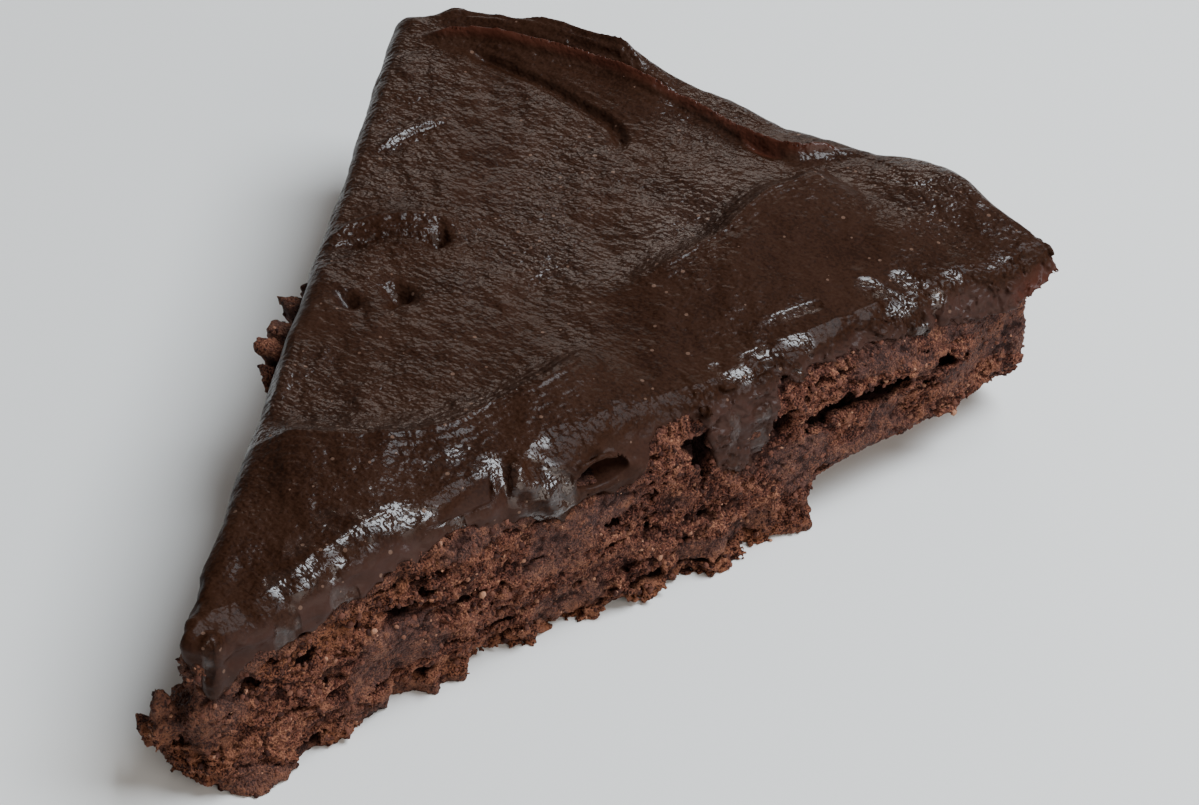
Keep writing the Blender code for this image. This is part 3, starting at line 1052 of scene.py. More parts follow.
    def walls(self, run: np.ndarray, depth: np.ndarray, height: np.ndarray) -> np.ndarray:
        """Distance outside the smooth cuts and rim.

        Args:
            run: distances along the front cut.
            depth: distances behind it.
            height: heights above the base.

        Returns:
            One distance for each place, below zero behind the walls.
        """
        left_gap, left_run = WEDGE.beside_left(run, depth)
        near_base = np.clip(1 - height / self.base_wave_height, 0, 1)
        broken = self.break_depth * self.break_along.at(run)
        broken = broken * (1 - self.break_up.at(height))
        corner = self.corner_setback * self.corner.at(run)
        covered = eased((height - through(FRONT_LINE, run)) / self.covered_ease + 0.3)
        front = -depth + broken + corner - near_base * through(BASE_LINE, run)
        front = front + WEDGE.leaning(height) + self.covered_setback * covered
        lean = self.left_lean * (1 - height / WEDGE.sponge_height)
        nose = self.nose_bulge * bell(left_run, 0, self.nose_length)
        nose = nose * (0.8 + 0.2 * self.nose_foot.at(height)) * (1 - self.nose_top.at(height))
        left = left_gap - lean - nose + self.left_setback * self.left_covered.at(height)
        narrowing = self.rim_narrowing * (1 - self.rim_low.at(height))
        full_end = self.rim_fullness * self.rim_full_end.at(run)
        rim = np.hypot(run, depth) - (WEDGE.radius - self.rim_inset - narrowing + full_end)
        level = np.clip(height / self.nose_middle - 1, -1, 1)
        ahead = self.nose_ahead + self.nose_undercut * level**2 * (level < 0) + self.nose_round * level**2
        ahead = ahead - run * math.cos(WEDGE.half) - depth * math.sin(WEDGE.half)
        return rounded(rounded(front, left, self.edge_radius), np.maximum(rim, ahead), self.rim_radius)

    def top(self, run: np.ndarray, depth: np.ndarray) -> np.ndarray:
        """Height of the sponge under the frosting.

        Args:
            run: distances along the front cut.
            depth: distances behind it.

        Returns:
            One height for each place.
        """
        left_gap, left_run = WEDGE.beside_left(run, depth)
        dip = 1 - self.tip_dip * bell(np.hypot(run, depth), 0, self.tip_dip_reach)
        seat = WEDGE.sponge_height * dip - self.seat_gap
        line = np.minimum(through(FRONT_LINE, run) + self.edge_rise, self.edge_limit)
        top = seat + (np.maximum(line, seat - MM) - seat) * (1 - eased(depth / self.seat))
        line = through(LEFT_LINE, left_run) + MM
        return top + (line - top) * (1 - eased(-left_gap / self.seat))

    def crumb(self, points: np.ndarray, base: np.ndarray) -> np.ndarray:
        """The distance with the crumb's lumps, pores and hollows worked in.

        Args:
            points: rows of run, depth and height near the skin.
            base: the smooth distance at each of them.

        Returns:
            The distance to the crumbly skin.
        """
        pressed = self.pressed(points)
        bent, rough = self.grain(points)
        lumps = self.lump_size * self.lump_noise.at(points)
        foot = 1 + self.foot_share * np.clip(1 - points[:, 2] / self.foot_height, 0, 1)
        nose = np.clip(1 - points[:, 0] / self.nose_reach, 0, 1)
        covered = eased((points[:, 2] - through(FRONT_LINE, points[:, 0])) / MM + 0.2)
        foot = (foot + self.nose_share * nose) * (1 - self.calm_covered * covered)
        crumbly = base + lumps * foot + rough * (1 - self.calm_pressed * pressed) * foot
        for pores in self.pores:
            crumbly = np.maximum(crumbly, pores.depth(bent, pressed))
        streak = self.streaks.at(bent) - self.streak_start - self.streak_calm * pressed
        crumbly = np.maximum(crumbly, streak * self.streak_size * MM)
        for hollow in self.hollows:
            crumbly = np.maximum(crumbly, hollow.inside(bent) + rough * 0.5)
        for lump in self.lumps:
            crumbly = melted(crumbly, lump.distance(bent) + rough * 0.9, 0.5 * MM)
        return crumbly

    @classmethod
    def grain(cls, points: np.ndarray) -> tuple:
        """The crumb's grains.

        Args:
            points: rows of run, depth and height.

        Returns:
            The places bent a little out of line, and how far each grain lies below the smooth skin.
        """
        warp = np.column_stack([Noise((cls.warp_cell,) * 3, 20 + k).at(points) for k in range(3)])
        bent = points + warp * cls.warp * MM
        rough = cls.swing * cls.swing_noise.at(bent)
        for grains, size, unevenness in cls.grains:
            gap, own = grains.nearest(bent)
            rough += (gap - 0.5) * size * MM + (own - 0.5) * unevenness * MM
        return bent, rough

    @classmethod
    def pressed(cls, points: np.ndarray) -> np.ndarray:
        """How far the knife has pressed the crumb smooth, from 0 to 1."""
        return eased((cls.pressing.at(points) - 0.05) / 0.4)

    def build(self) -> bpy.types.Object:
        """Draws the skin, closes what lies hidden with flat faces, and stores what its finish reads.

        Returns:
            The new piece.
        """
        low, (run, depth, height) = self.grid()
        walls = self.walls(run, depth, height)
        above = height - self.top(run, depth)
        values = np.maximum(walls, above)
        near = (np.abs(walls) < self.shell) & (above < self.step * 2)
        for hollow in self.hollows:
            near |= hollow.near(run, depth, height)
        for lump in self.lumps:
            near |= lump.near((run, depth, height), self.lump_reach, self.lump_rise)
        points = low + np.argwhere(near) * self.step
        values[near] = np.maximum(self.crumb(points, walls[near]), above[near])
        for axis, place in ((1, depth), (0, run)):
            start, end = self.ends(axis)
            values = np.maximum(values, np.maximum(start - place, place - end))
        skin, faces = self.skin(np.maximum(values, -height))
        wall = self.walls(*skin.T)
        hidden = (wall < -self.shell - self.hidden_behind) & self.flat(skin)
        piece = new_piece(self.name, WEDGE.place(*skin.T), self.close_up(faces, hidden))
        paint_values(piece, "stand_out", wall / MM)
        self.paint(piece, skin)
        return piece

    def flat(self, skin: np.ndarray) -> np.ndarray:
        """Which points of the skin lie on the base, on a cut-off end or on the seat.

        Args:
            skin: rows of run, depth and height.

        Returns:
            True or False for each row.
        """
        flat = skin[:, 2] < ON_PLANE
        for axis in (0, 1):
            start, end = self.ends(axis)
            flat |= (skin[:, axis] < start + ON_PLANE) | (skin[:, axis] > end - ON_PLANE)
        on_seat = np.abs(skin[:, 2] - self.top(*skin.T[:2])) < self.step
        return flat | ((skin[:, 2] > self.flat_above) & on_seat)

    def paint(self, piece: bpy.types.Object, skin: np.ndarray) -> None:
        """Stores what the finish reads.

        Args:
            piece: the block's piece.
            skin: the run, depth and height of each of its vertices.
        """
        # sunk drives painted shade in the deepest grains and a painted highlight on the proudest ones
        paint_values(piece, "sunk", self.grain(skin)[1] / MM)
        paint_values(piece, "pressed", self.pressed(skin))
        below = through(FRONT_LINE, skin[:, 0]) - skin[:, 2]
        # darker in a thin band just under the frosting line
        paint_values(piece, "dark_below_line", dying(below, 0.0, 0.8 * MM) * 0.7)
        baked_and_lit = np.maximum(bell(below, 2.5 * MM, 2.5 * MM) * eased(1.4 - skin[:, 0] / (34 * MM)), 0)
        baked_and_lit = np.maximum(baked_and_lit, np.clip(1 - skin[:, 2] / (4.5 * MM), 0, 1))
        # painted light: the nose of the slice is painted in the paler baked tone, as if lit
        paint_values(piece, "baked_and_lit", np.maximum(baked_and_lit, bell(skin[:, 0], -3 * MM, 10 * MM)))


@dataclass(frozen=True)
class Stroke:
    """A mark of the spreading knife: a ridge, or a groove where its rise is negative.

    The path is (across, along) in shares of the cake's radius. The flanks are the ridge's widths to
    the left and to the right of the path, and the comb is the fine scratches that run beside it.
    """

    path: tuple
    rise: float
    left_flank: float
    right_flank: float
    scratch: float = 0.09 * MM
    fading: tuple = (6 * MM, 6 * MM)
    crisp: float = 0.6
    comb_pitch: float = 1.15 * MM
    comb_reach: float = 3.2 * MM
    comb_sway: float = 9 * MM

    def smooth_path(self) -> np.ndarray:
        """The path as a smooth line of many short steps.

        Returns:
            Rows of X and Y in metres from the tip.
        """
        knots = np.array(self.path) * WEDGE.radius
        knots = np.vstack((2 * knots[0] - knots[1], knots, 2 * knots[-1] - knots[-2]))
        steps = np.linspace(0, 1, 9)[:-1, None]
        line = []
        for a, b, c, d in zip(knots, knots[1:], knots[2:], knots[3:]):
            bend = 2 * b + (c - a) * steps + (2 * a - 5 * b + 4 * c - d) * steps**2
            line.append((bend + (3 * b - a - 3 * c + d) * steps**3) / 2)
        return np.vstack([*line, knots[-2][None, :]])

    def height(self, places: np.ndarray) -> np.ndarray:
        """Height that the stroke adds at each plan place, measured from the tip.

        Args:
            places: rows of X and Y from the tip.

        Returns:
            One height for each row.
        """
        path = self.smooth_path()
        nearest = np.full(len(places), np.inf)
        offset = np.zeros(len(places))
        run = np.zeros(len(places))
        lengths = np.linalg.norm(np.diff(path, axis=0), axis=1)
        for k, length in enumerate(lengths):
            way = (path[k + 1] - path[k]) / length
            apart = places - path[k]
            along = np.clip(apart @ way, 0, length)
            miss = np.linalg.norm(apart - along[:, None] * way, axis=1)
            closer = miss < nearest
            nearest = np.where(closer, miss, nearest)
            turn = way[0] * apart[:, 1] - way[1] * apart[:, 0]
            offset = np.where(closer, np.sign(turn) * miss, offset)
            run = np.where(closer, lengths[:k].sum() + along, run)
        flank = np.where(offset > 0, self.left_flank, self.right_flank)
        fade = eased(run / self.fading[0]) * eased((lengths.sum() - run) / self.fading[1])
        share = np.abs(offset) / flank
        crest = self.crisp * np.exp(-share * 1.2) + (1 - self.crisp) * np.exp(-(share**2))
        comb = np.cos(offset * (2 * math.pi / self.comb_pitch) + 3 * np.sin(run / self.comb_sway))
        comb = comb * np.exp(-((offset / self.comb_reach) ** 2))
        return (self.rise * crest + self.scratch * comb) * fade


def knife(path: tuple, rise: float, left_flank: float, right_flank: float, **more: object) -> Stroke:
    """A stroke whose sizes beside its path are given in millimetres."""
    more = {name: metres(value) for name, value in more.items()}
    return Stroke(path, *metres((rise, left_flank, right_flank)), **more)


@dataclass(frozen=True)
class Swell:
    """A broad rise of the frosting, or a hollow where its rise is negative."""

    centre: tuple
    spread: tuple
    rise: float


@dataclass(frozen=True)
class Gleam:
    """A wet streak of the frosting, along (run, depth) places in millimetres."""

    path: tuple
    width: float
    strength: float = 1.0

    def cover(self, run: np.ndarray, depth: np.ndarray) -> np.ndarray:
        """How far the streak covers each place, from 0 to its strength.

        Args:
            run: distances along the front cut.
            depth: distances behind it.

        Returns:
            One share for each place.
        """
        places = np.column_stack((run, depth)) / MM
        nearest = np.full(len(places), np.inf)
        for first, second in zip(self.path, self.path[1:]):
            way = np.subtract(second, first)
            share = np.clip((places - first) @ way / (way @ way), 0, 1)
            miss = np.linalg.norm(places - first - share[:, None] * way, axis=1)
            nearest = np.minimum(nearest, miss)
        return self.strength * eased(1.6 - nearest / self.width)


@dataclass
class FrostingCoat(FieldPiece):
    """The frosting: a spread top and a rolled edge that drapes and drips over the cuts.

    Its sizes come in groups: its edges, its top, the flat that the knife left on the front roll, the
    drapes and their bubble, and its sheen.
    """

    shell: float = 1.6 * MM
    roll: float = 2.6 * MM
    cut_radius: float = 1.5 * MM
    rim_radius: float = 2 * MM
    overhang: float = 0.15 * MM
    film: float = 0.35 * MM
    film_top: Ramp = Ramp(18 * MM, 2 * MM)
    corner: Ramp = Ramp(101 * MM, 9 * MM)
    corner_reach: float = 1.2 * MM
    tip_low: Ramp = Ramp(17.8 * MM, 1.4 * MM)
    tip_near: Ramp = Ramp(5 * MM, 4 * MM)
    tip_inset: float = 0.3 * MM
    tip_cut: float = 1.8 * MM
    left_reach: float = 0.75 * MM
    left_end: Ramp = Ramp(80 * MM, 30 * MM)
    left_end_reach: float = 0.4 * MM
    left_tip_reach: float = 0.5 * MM
    rim_reach: tuple = knots_in_metres(
        (-23.5, 2.2), (-20, 3.0), (-15, 2.7), (-10, 1.6), (-4, 1.2), (5, 0.2), (8, 0.0), (14, 2.4), (18, 1.6),
        (23.5, 3.0),
    )

    droop: float = 0.9 * MM
    droop_reach: float = 6 * MM
    waves: tuple = (
        (0.30 * MM, Noise(metres((11, 6, 5)), 61)),
        (0.12 * MM, Noise(metres((3.8, 1.8, 5)), 62)),
        (0.06 * MM, Noise(metres((1.7, 0.8, 5)), 63)),
    )
    strokes: tuple = (
        knife(((-0.39, 0.94), (-0.31, 0.985), (-0.16, 0.99), (-0.115, 0.97)), 2.6, 2.2, 1.7, scratch=0.22),
        knife(
            ((-0.36, 0.922), (-0.30, 0.948), (-0.24, 0.958), (-0.167, 0.963), (-0.113, 0.965), (-0.04, 0.95)),
            -1.5, 0.9, 0.8,
        ),
        knife(
            (
                (-0.37, 0.892), (-0.30, 0.926), (-0.235, 0.941), (-0.167, 0.951), (-0.10, 0.951),
                (-0.033, 0.947), (0.033, 0.932), (0.074, 0.929), (0.10, 0.932), (0.122, 0.95), (0.157, 0.967),
            ),
            1.9, 0.8, 0.9,
        ),
        knife(((0.02, 0.926), (0.074, 0.918), (0.106, 0.918)), -1.1, 0.7, 0.9),
        knife(
            (
                (-0.322, 0.899), (-0.268, 0.904), (-0.20, 0.90), (-0.148, 0.889), (-0.10, 0.876),
                (-0.0765, 0.859), (-0.068, 0.842), (-0.070, 0.82),
            ),
            -1.2, 0.7, 1.3,
        ),
        knife(
            (
                (0.047, 0.604), (0.08, 0.652), (0.10, 0.711), (0.11, 0.752), (0.113, 0.791), (0.12, 0.832),
                (0.134, 0.859), (0.141, 0.885), (0.148, 0.919),
            ),
            2.6, 2.6, 12, fading=(15, 5),
        ),
        knife(((0.121, 0.86), (0.113, 0.915)), -1.8, 1.8, 1.0),
        knife(
            (
                (-0.107, 0.23), (-0.074, 0.256), (-0.04, 0.274), (-0.007, 0.294), (0.026, 0.323),
                (0.047, 0.35), (0.0565, 0.384), (0.074, 0.424), (0.087, 0.457), (0.09, 0.491), (0.085, 0.537),
            ),
            2.1, 2.8, 8, fading=(6, 8),
        ),
        knife(
            ((-0.284, 0.678), (-0.278, 0.704), (-0.271, 0.732), (-0.257, 0.765), (-0.243, 0.796)),
            1.1, 0.55, 0.9,
        ),
        knife(
            (
                (-0.228, 0.524), (-0.228, 0.551), (-0.214, 0.578), (-0.187, 0.604), (-0.161, 0.622),
                (-0.137, 0.624), (-0.124, 0.591),
            ),
            0.9, 0.8, 1.3,
        ),
        knife(
            ((-0.225, 0.512), (-0.205, 0.545), (-0.178, 0.574), (-0.152, 0.590), (-0.138, 0.586)),
            -0.6, 0.6, 1.2, fading=(4, 2),
        ),
        knife(((-0.20, 0.435), (-0.139, 0.337), (-0.104, 0.265)), 0.7, 1.4, 1.2),
        knife(((-0.135, 0.42), (-0.118, 0.36), (-0.13, 0.345)), 0.5, 0.7, 1.2),
    )
    folded: tuple = (2, 3)
    swells: tuple = tuple(Swell(centre, spread, rise * MM) for centre, spread, rise in (
        ((-0.30, 0.96), (0.16, 0.07), 0.9),
        ((0.02, 0.99), (0.10, 0.055), -1.9),
        ((0.27, 0.965), (0.07, 0.05), 2.4),
        ((0.40, 0.90), (0.05, 0.05), -0.5),
        ((-0.17, 0.80), (0.13, 0.09), -0.6),
        ((0.00, 0.62), (0.12, 0.20), -0.5),
        ((0.00, 0.05), (0.08, 0.10), -2.2),
        ((-0.137, 0.598), (0.010, 0.013), -1.8),
        ((-0.120, 0.504), (0.015, 0.010), -2.0),
        ((-0.114, 0.490), (0.004, 0.012), -1.0),
        ((-0.154, 0.464), (0.012, 0.009), -1.6),
    ))

    facet_start: float = 27 * MM
    facet_end: float = 37.4 * MM
    facet_skew: float = 0.54
    facet_slope: float = 0.79
    facet_level: float = 22.4 * MM
    facet_depth: float = 1.2 * MM
    facet_step: float = 0.5 * MM

    lumps: tuple = tuple(Blob(*metres(sizes)) for sizes in (
        ((3.4, 0.9, 21.0), (2.9, 0.3, 14.6), (1.2, 0.7)),
        ((2.9, 3.6, 21.4), (2.6, 4.2, 18.6), (0.9, 0.3)),
        ((41.6, 2.8, 23.2), (44.4, 1.4, 21.2), (2.0, 1.5)),
        ((44.4, 1.2, 21.2), (46.0, 0.2, 18.0), (1.5, 0.45)),
        ((46.6, 0.5, 20.6), (49.2, 0.8, 22.8), (0.5, 0.45)),
        ((49.2, 0.8, 22.8), (52.4, 0.9, 23.0), (0.45, 0.45)),
        ((52.4, 0.9, 23.0), (55.7, 0.3, 20.4), (0.45, 0.5)),
        ((65.4, 0.5, 23.4), (66.5, 0.1, 18.2), (0.6, 0.35)),
    ))
    lump_reach: float = 4 * MM
    lump_rise: float = 9 * MM
    bubble: Hollow = Hollow(*metres((51.3, 21.3, (3.5, 3.8, 1.35), 0.8)))
    detail_below: float = 24 * MM
    detail_reach: float = 7 * MM
    swing: tuple = (
        (0.34 * MM, Noise(metres((5, 5, 3)), 71)),
        (0.26 * MM, Noise(metres((2.2, 2.2, 1.5)), 72)),
        (0.11 * MM, Noise(metres((0.9, 0.9, 0.8)), 75)),
    )
    tears: tuple = (
        (0.6 * MM, Noise(metres((3.4, 3.4, 2)), 73)),
        (0.4 * MM, Noise(metres((1.2, 1.2, 1)), 74)),
    )
    ragged_end: Ramp = Ramp(63 * MM, 2 * MM)
    ragged_share: float = 0.8
    seam_sink: float = 0.12 * MM
    seam_ease: float = 0.5 * MM
    hidden_behind: float = 5 * MM
    hidden_below: float = 22 * MM

    sheen: float = 0.36
    sheen_beyond: float = 0.19
    patches: Noise = Noise(metres((16, 9, 9)), 92)
    breaks: Noise = Noise(metres((1.9, 1.9, 1.4)), 91)
    gleams: tuple = tuple(Gleam(*streak) for streak in (
        (((12.3, 3.3), (12.9, 2.6), (14.2, 2.3), (16.3, 2.4), (18.2, 2.2), (20.5, 2.7), (22.6, 3.3)), 1.2),
        (((14.5, 6.3), (17, 5.6), (20, 5.4)), 1.1, 0.75),
        (((24.5, 5.2), (25.6, 3.9), (27.9, 3.5)), 1.3),
        (((27.9, 3.2), (29.7, 2.8), (31.1, 2.1), (33.4, 1.2)), 0.7),
        (((20.5, 7.5), (23.5, 6.6), (26.5, 7.4)), 0.7, 0.8),
        (((39.6, 4.2), (41.6, 2.7), (43.7, 1.6)), 1.9),
        (((43.9, 1.2), (45.4, 0.5), (46.2, 0.0)), 1.3),
        (((45.0, 4.8), (47.5, 3.8)), 0.6, 0.7),
        (((34.0, 7.5), (38.5, 7.0)), 0.7, 0.8),
        (((70.0, 4.7), (70.8, 3.1), (74.5, 2.7)), 0.9),
        (((74.0, 4.2), (77.5, 4.0), (81.0, 3.0)), 0.9, 0.9),
        (((78.8, 1.2), (79.3, 0.4)), 0.6, 0.8),
        (((80.0, 7.2), (85.5, 6.6)), 0.8, 0.8),
        (((93.0, 6.4), (94.0, 4.0), (95.3, 2.4), (96.2, 0.6)), 1.4),
        (((97.5, 5.8), (99.8, 2.8)), 1.3),
        (((101.0, 5.0), (103.4, 2.9)), 0.8, 0.9),
        (((108.0, 2.4), (111.0, 2.2)), 0.5, 0.6),
        (((2.3, 0.0), (2.9, 0.2)), 0.45, 0.7),
        (((61.5, 60.7), (67.0, 61.8)), 0.9, 0.8),
        (((11.0, 0.0), (12.5, 0.1)), 0.7, 0.7),
        (((17.5, 0.0), (20.0, 0.1)), 0.5, 0.6),
        (((69.0, 0.0), (69.6, 0.1)), 0.5, 0.45),
        (((72.4, 0.0), (73.8, 0.1)), 0.5, 0.5),
    ))

    def top(self, run: np.ndarray, depth: np.ndarray) -> np.ndarray:
        """Height of the spread top at each place.

        Args:
            run: distances along the front cut.
            depth: distances behind it.

        Returns:
            One height for each place.
        """
        places = np.column_stack(WEDGE.across_along(run, depth))
        height = np.full(len(places), WEDGE.frosting_top)
        for stroke in self.strokes:
            height += stroke.height(places)
        for swell in self.swells:
            apart = (places / WEDGE.radius - swell.centre) / swell.spread
            height += swell.rise * np.exp(-(apart**2).sum(axis=1))
        height -= self.droop * dying(depth, 0.0, self.droop_reach)
        flat = np.column_stack((places, np.zeros(len(places))))
        for size, noise in self.waves:
            height += size * noise.at(flat)
        return height

    def outer(self, run: np.ndarray, depth: np.ndarray, height: np.ndarray, top: np.ndarray) -> np.ndarray:
        """Distance outside the top and the rolled walls.

        Args:
            run: distances along the front cut.
            depth: distances behind it.
            height: heights above the base.
            top: heights of the spread top there.

        Returns:
            One distance for each place, below zero within the frosting.
        """
        reach = np.hypot(run, depth)
        film = self.film * (1 - self.film_top.at(height))
        corner = self.corner_reach * self.corner.at(run)
        front = -depth - self.overhang + film - corner + WEDGE.leaning(height)
        low_tip = (1 - self.tip_low.at(height)) * (1 - self.tip_near.at(reach))
        spread = self.left_reach + self.left_end_reach * self.left_end.at(reach)
        spread = spread + self.left_tip_reach * bell(reach, 5 * MM, 4 * MM)
        left = WEDGE.beside_left(run, depth)[0] - self.overhang
        left = left - spread * (1 - low_tip) + self.tip_inset * low_tip
        ahead = self.tip_cut - run * math.cos(WEDGE.half) - depth * math.sin(WEDGE.half)
        left = np.maximum(left, ahead)
        bearing = WEDGE.half - np.arctan2(depth, np.maximum(run, MM))
        rim = reach - WEDGE.radius - between(self.rim_reach, bearing, math.radians(1))
        walls = rounded(rounded(front, left, self.cut_radius), rim, self.rim_radius)
        return rounded(walls, height - top, self.roll)

    def under(self, sponge: SpongeBlock, run: np.ndarray, depth: np.ndarray) -> np.ndarray:
        """Height of the frosting's underside.

        Args:
            sponge: the block whose top the coat lies on.
            run: distances along the front cut.
            depth: distances behind it.

        Returns:
            One height for each place.
        """
        left_gap, left_run = WEDGE.beside_left(run, depth)
        front_line = through(FRONT_LINE, run) + 30 * np.maximum(depth - 1.2 * MM, 0)
        left_line = through(LEFT_LINE, left_run) + 30 * np.maximum(-left_gap - 1.2 * MM, 0)
        return np.minimum(np.minimum(sponge.top(run, depth) - 0.8 * MM, front_line), left_line)

    def facet(self, points: np.ndarray) -> tuple:
        """The flat that the knife left on the front roll.

        Args:
            points: rows of run, depth and height.

        Returns:
            Distance outside the flat, and how far the flat covers each place, from 0 to 1.
        """
        run, depth, height = points.T
        skewed = run - self.facet_skew * depth
        face = (height - self.facet_level - self.facet_slope * (depth - self.facet_depth)) * 0.78
        side = eased((self.facet_end - skewed) / (0.35 * MM))
        limit = 1.6 * MM + 0.27 * (skewed - self.facet_start)
        cover = side * eased((depth - self.facet_depth) / (0.5 * MM)) * eased((limit - depth) / (0.6 * MM))
        return face, cover

    def draped(self, points: np.ndarray, outer: np.ndarray, under: np.ndarray) -> np.ndarray:
        """The distance with the drapes, the flat, the torn line and the bubble worked in.

        Args:
            points: rows of run, depth and height near the skin.
            outer: the smooth distance outside the top and walls.
            under: the smooth distance below the underside.

        Returns:
            The distance to the draped skin.
        """
        run, depth, height = points.T
        swing = combined(self.swing, points)
        steep = np.maximum(dying(depth, 2 * MM, 2 * MM), np.clip((24 * MM - height) / (2 * MM), 0, 1) * 0.7)
        lump = np.full(len(points), 9.0 * MM)
        for blob in self.lumps:
            lump = melted(lump, blob.distance(points), 0.3 * MM)
        skin_out = melted(outer + swing * steep, lump + swing * 0.6, 0.7 * MM)
        face, cover = self.facet(points)
        beside = bell(run - self.facet_skew * depth, self.facet_end + 1.4 * MM, 1.2 * MM)
        skin_out = skin_out + self.facet_step * beside * (depth < 5 * MM)
        skin_out = skin_out * (1 - cover) + face * cover
        ragged = np.clip((25 * MM - height) / (1.2 * MM), 0, 1) * self.ragged_end.at(run)
        ragged = ragged * eased((self.detail_reach - depth) / (2 * MM))
        skin_out = skin_out + self.ragged_share * SpongeBlock.grain(points)[1] * ragged
        skin_under = np.minimum(under + combined(self.tears, points), lump + swing * 0.6)
        return np.maximum(np.maximum(skin_out, skin_under), self.bubble.inside(points))

    def build(self, sponge: SpongeBlock) -> bpy.types.Object:
        """Draws the coat over the sponge, sinks its ends under its neighbour and stores its values.

        Args:
            sponge: the block whose top the coat lies on.

        Returns:
            The new piece.
        """
        low, (run, depth, height) = self.grid()
        plan_run, plan_depth = np.broadcast_arrays(run[:, :, 0], depth[:, :, 0])
        top = self.top(plan_run.ravel(), plan_depth.ravel()).reshape(plan_run.shape)[:, :, None]
        outer = self.outer(run, depth, height, top)
        under = self.under(sponge, run, depth) - height
        values = np.maximum(outer, under)
        near = (np.abs(outer) < self.shell) & (under < 2 * self.shell)
        near &= (height < self.detail_below) | (depth < self.detail_reach)
        for blob in self.lumps:
            near |= blob.near((run, depth, height), self.lump_reach, self.lump_rise)
        points = low + np.argwhere(near) * self.step
        values[near] = self.draped(points, outer[near], np.broadcast_to(under, values.shape)[near])
        shallow, deep = self.ends(1)
        skin, faces = self.skin(np.maximum(values, np.maximum(shallow - depth, depth - deep)))
        plan_top = self.top(skin[:, 0], skin[:, 1])
        wall = self.outer(skin[:, 0], skin[:, 1], 20 * MM, 60 * MM)
        flat_top = (np.abs(skin[:, 2] - plan_top) < 0.6 * self.step) & (wall < -self.roll)
        skin[flat_top, 2] = plan_top[flat_top]
        past_end = np.maximum(skin[:, 1] - deep, shallow - skin[:, 1])
        sunk = self.seam_sink * eased(past_end / self.seam_ease + 1)
        skin[:, 2] -= sunk * (skin[:, 2] > plan_top - 1.5 * MM)
        hidden = (wall < -self.hidden_behind) & (skin[:, 2] < self.hidden_below)
        hidden &= (skin[:, 1] < deep - self.step) & (skin[:, 1] > shallow + self.step)
        piece = new_piece(self.name, WEDGE.place(*skin.T), self.close_up(faces, hidden))
        self.paint(piece, skin, plan_top)
        return piece

    def paint(self, piece: bpy.types.Object, skin: np.ndarray, plan_top: np.ndarray) -> None:
        """Stores what the finish reads: how wet, rippled and folded the frosting is, and how far its cut
        faces take a paler colour with a painted sheen.

        Args:
            piece: the coat's piece.
            skin: the run, depth and height of each of its vertices.
            plan_top: the height of the spread top over each of them.
        """
        run, depth, height = skin.T
        across, along = WEDGE.across_along(run, depth)
        gleam = np.zeros(len(skin))
        for streak in self.gleams:
            gleam = np.maximum(gleam, streak.cover(run, depth))
        flat = self.facet(skin)[1] * (height > 21.5 * MM)
        band = np.clip((plan_top - MM - height) / (1.5 * MM), 0, 1)
        left_of = through(CREST_LINE, along) * WEDGE.radius - across
        blur = 0.8 * MM + 7 * MM * bell(along, 64 * MM, 6 * MM)
        beyond = eased(0.5 - left_of / blur)
        patchy = self.patches.at(np.column_stack((across, along, 0 * along)))

        misty = 0.24 * bell(left_of, 6 * MM, 6 * MM) * eased((along - 66 * MM) / (10 * MM))
        misty = np.maximum(misty, 0.34 * bell(left_of, 1.6 * MM, 2.2 * MM) * bell(along, 46 * MM, 16 * MM))
        misty = np.maximum(misty, 0.26 * eased((np.hypot(across, along) - 97 * MM) / (12 * MM)) * beyond)
        sheen = (self.sheen - self.sheen_beyond * beyond + misty) * (0.9 + 0.5 * patchy)
        sheen = sheen * (1 - dying(depth, 2 * MM, 9 * MM))
        sheen = sheen * (1 - 0.75 * bell(across, -21 * MM, 8 * MM) * bell(along, 67 * MM, 5 * MM))
        sheen = sheen * eased(np.hypot(run, depth) / (22 * MM)) + 0.04
        dull = 1 - 0.9 * bell(run, 57 * MM, 9 * MM) * dying(depth, 0.0, 5 * MM)
        broken = eased(self.breaks.at(skin) * 2.2 + 0.75)
        wet = np.maximum(np.maximum(sheen, 0.10 * band) * dull, gleam * broken)
        paint_values(piece, "wet", wet * (1 - flat))

        # pale dims the painted sheen of the cut band near the nose and near the bubble
        pale = 1 - 0.75 * bell(run, 50 * MM, 11 * MM) - 0.6 * bell(run, 2 * MM, 4 * MM)
        paint_values(piece, "cut_and_sheen", np.maximum(band * (1 - gleam) * pale, flat * 0.2))
        ripple = (1 - 0.25 * beyond) * (0.85 + 0.5 * patchy)
        paint_values(piece, "ripple", np.maximum(ripple * (1 - 0.8 * band), gleam) * (1 - 0.85 * flat))
        places = np.column_stack((across, along))
        folds = [self.strokes[number] for number in self.folded]
        fold = sum(stroke.height(places) / stroke.rise for stroke in folds)
        torn_end = 0.6 * band * eased((run - 108 * MM) / (4 * MM))
        paint_values(piece, "fold", np.maximum(np.clip(fold * 1.4 - 0.4, 0, 0.6), torn_end))


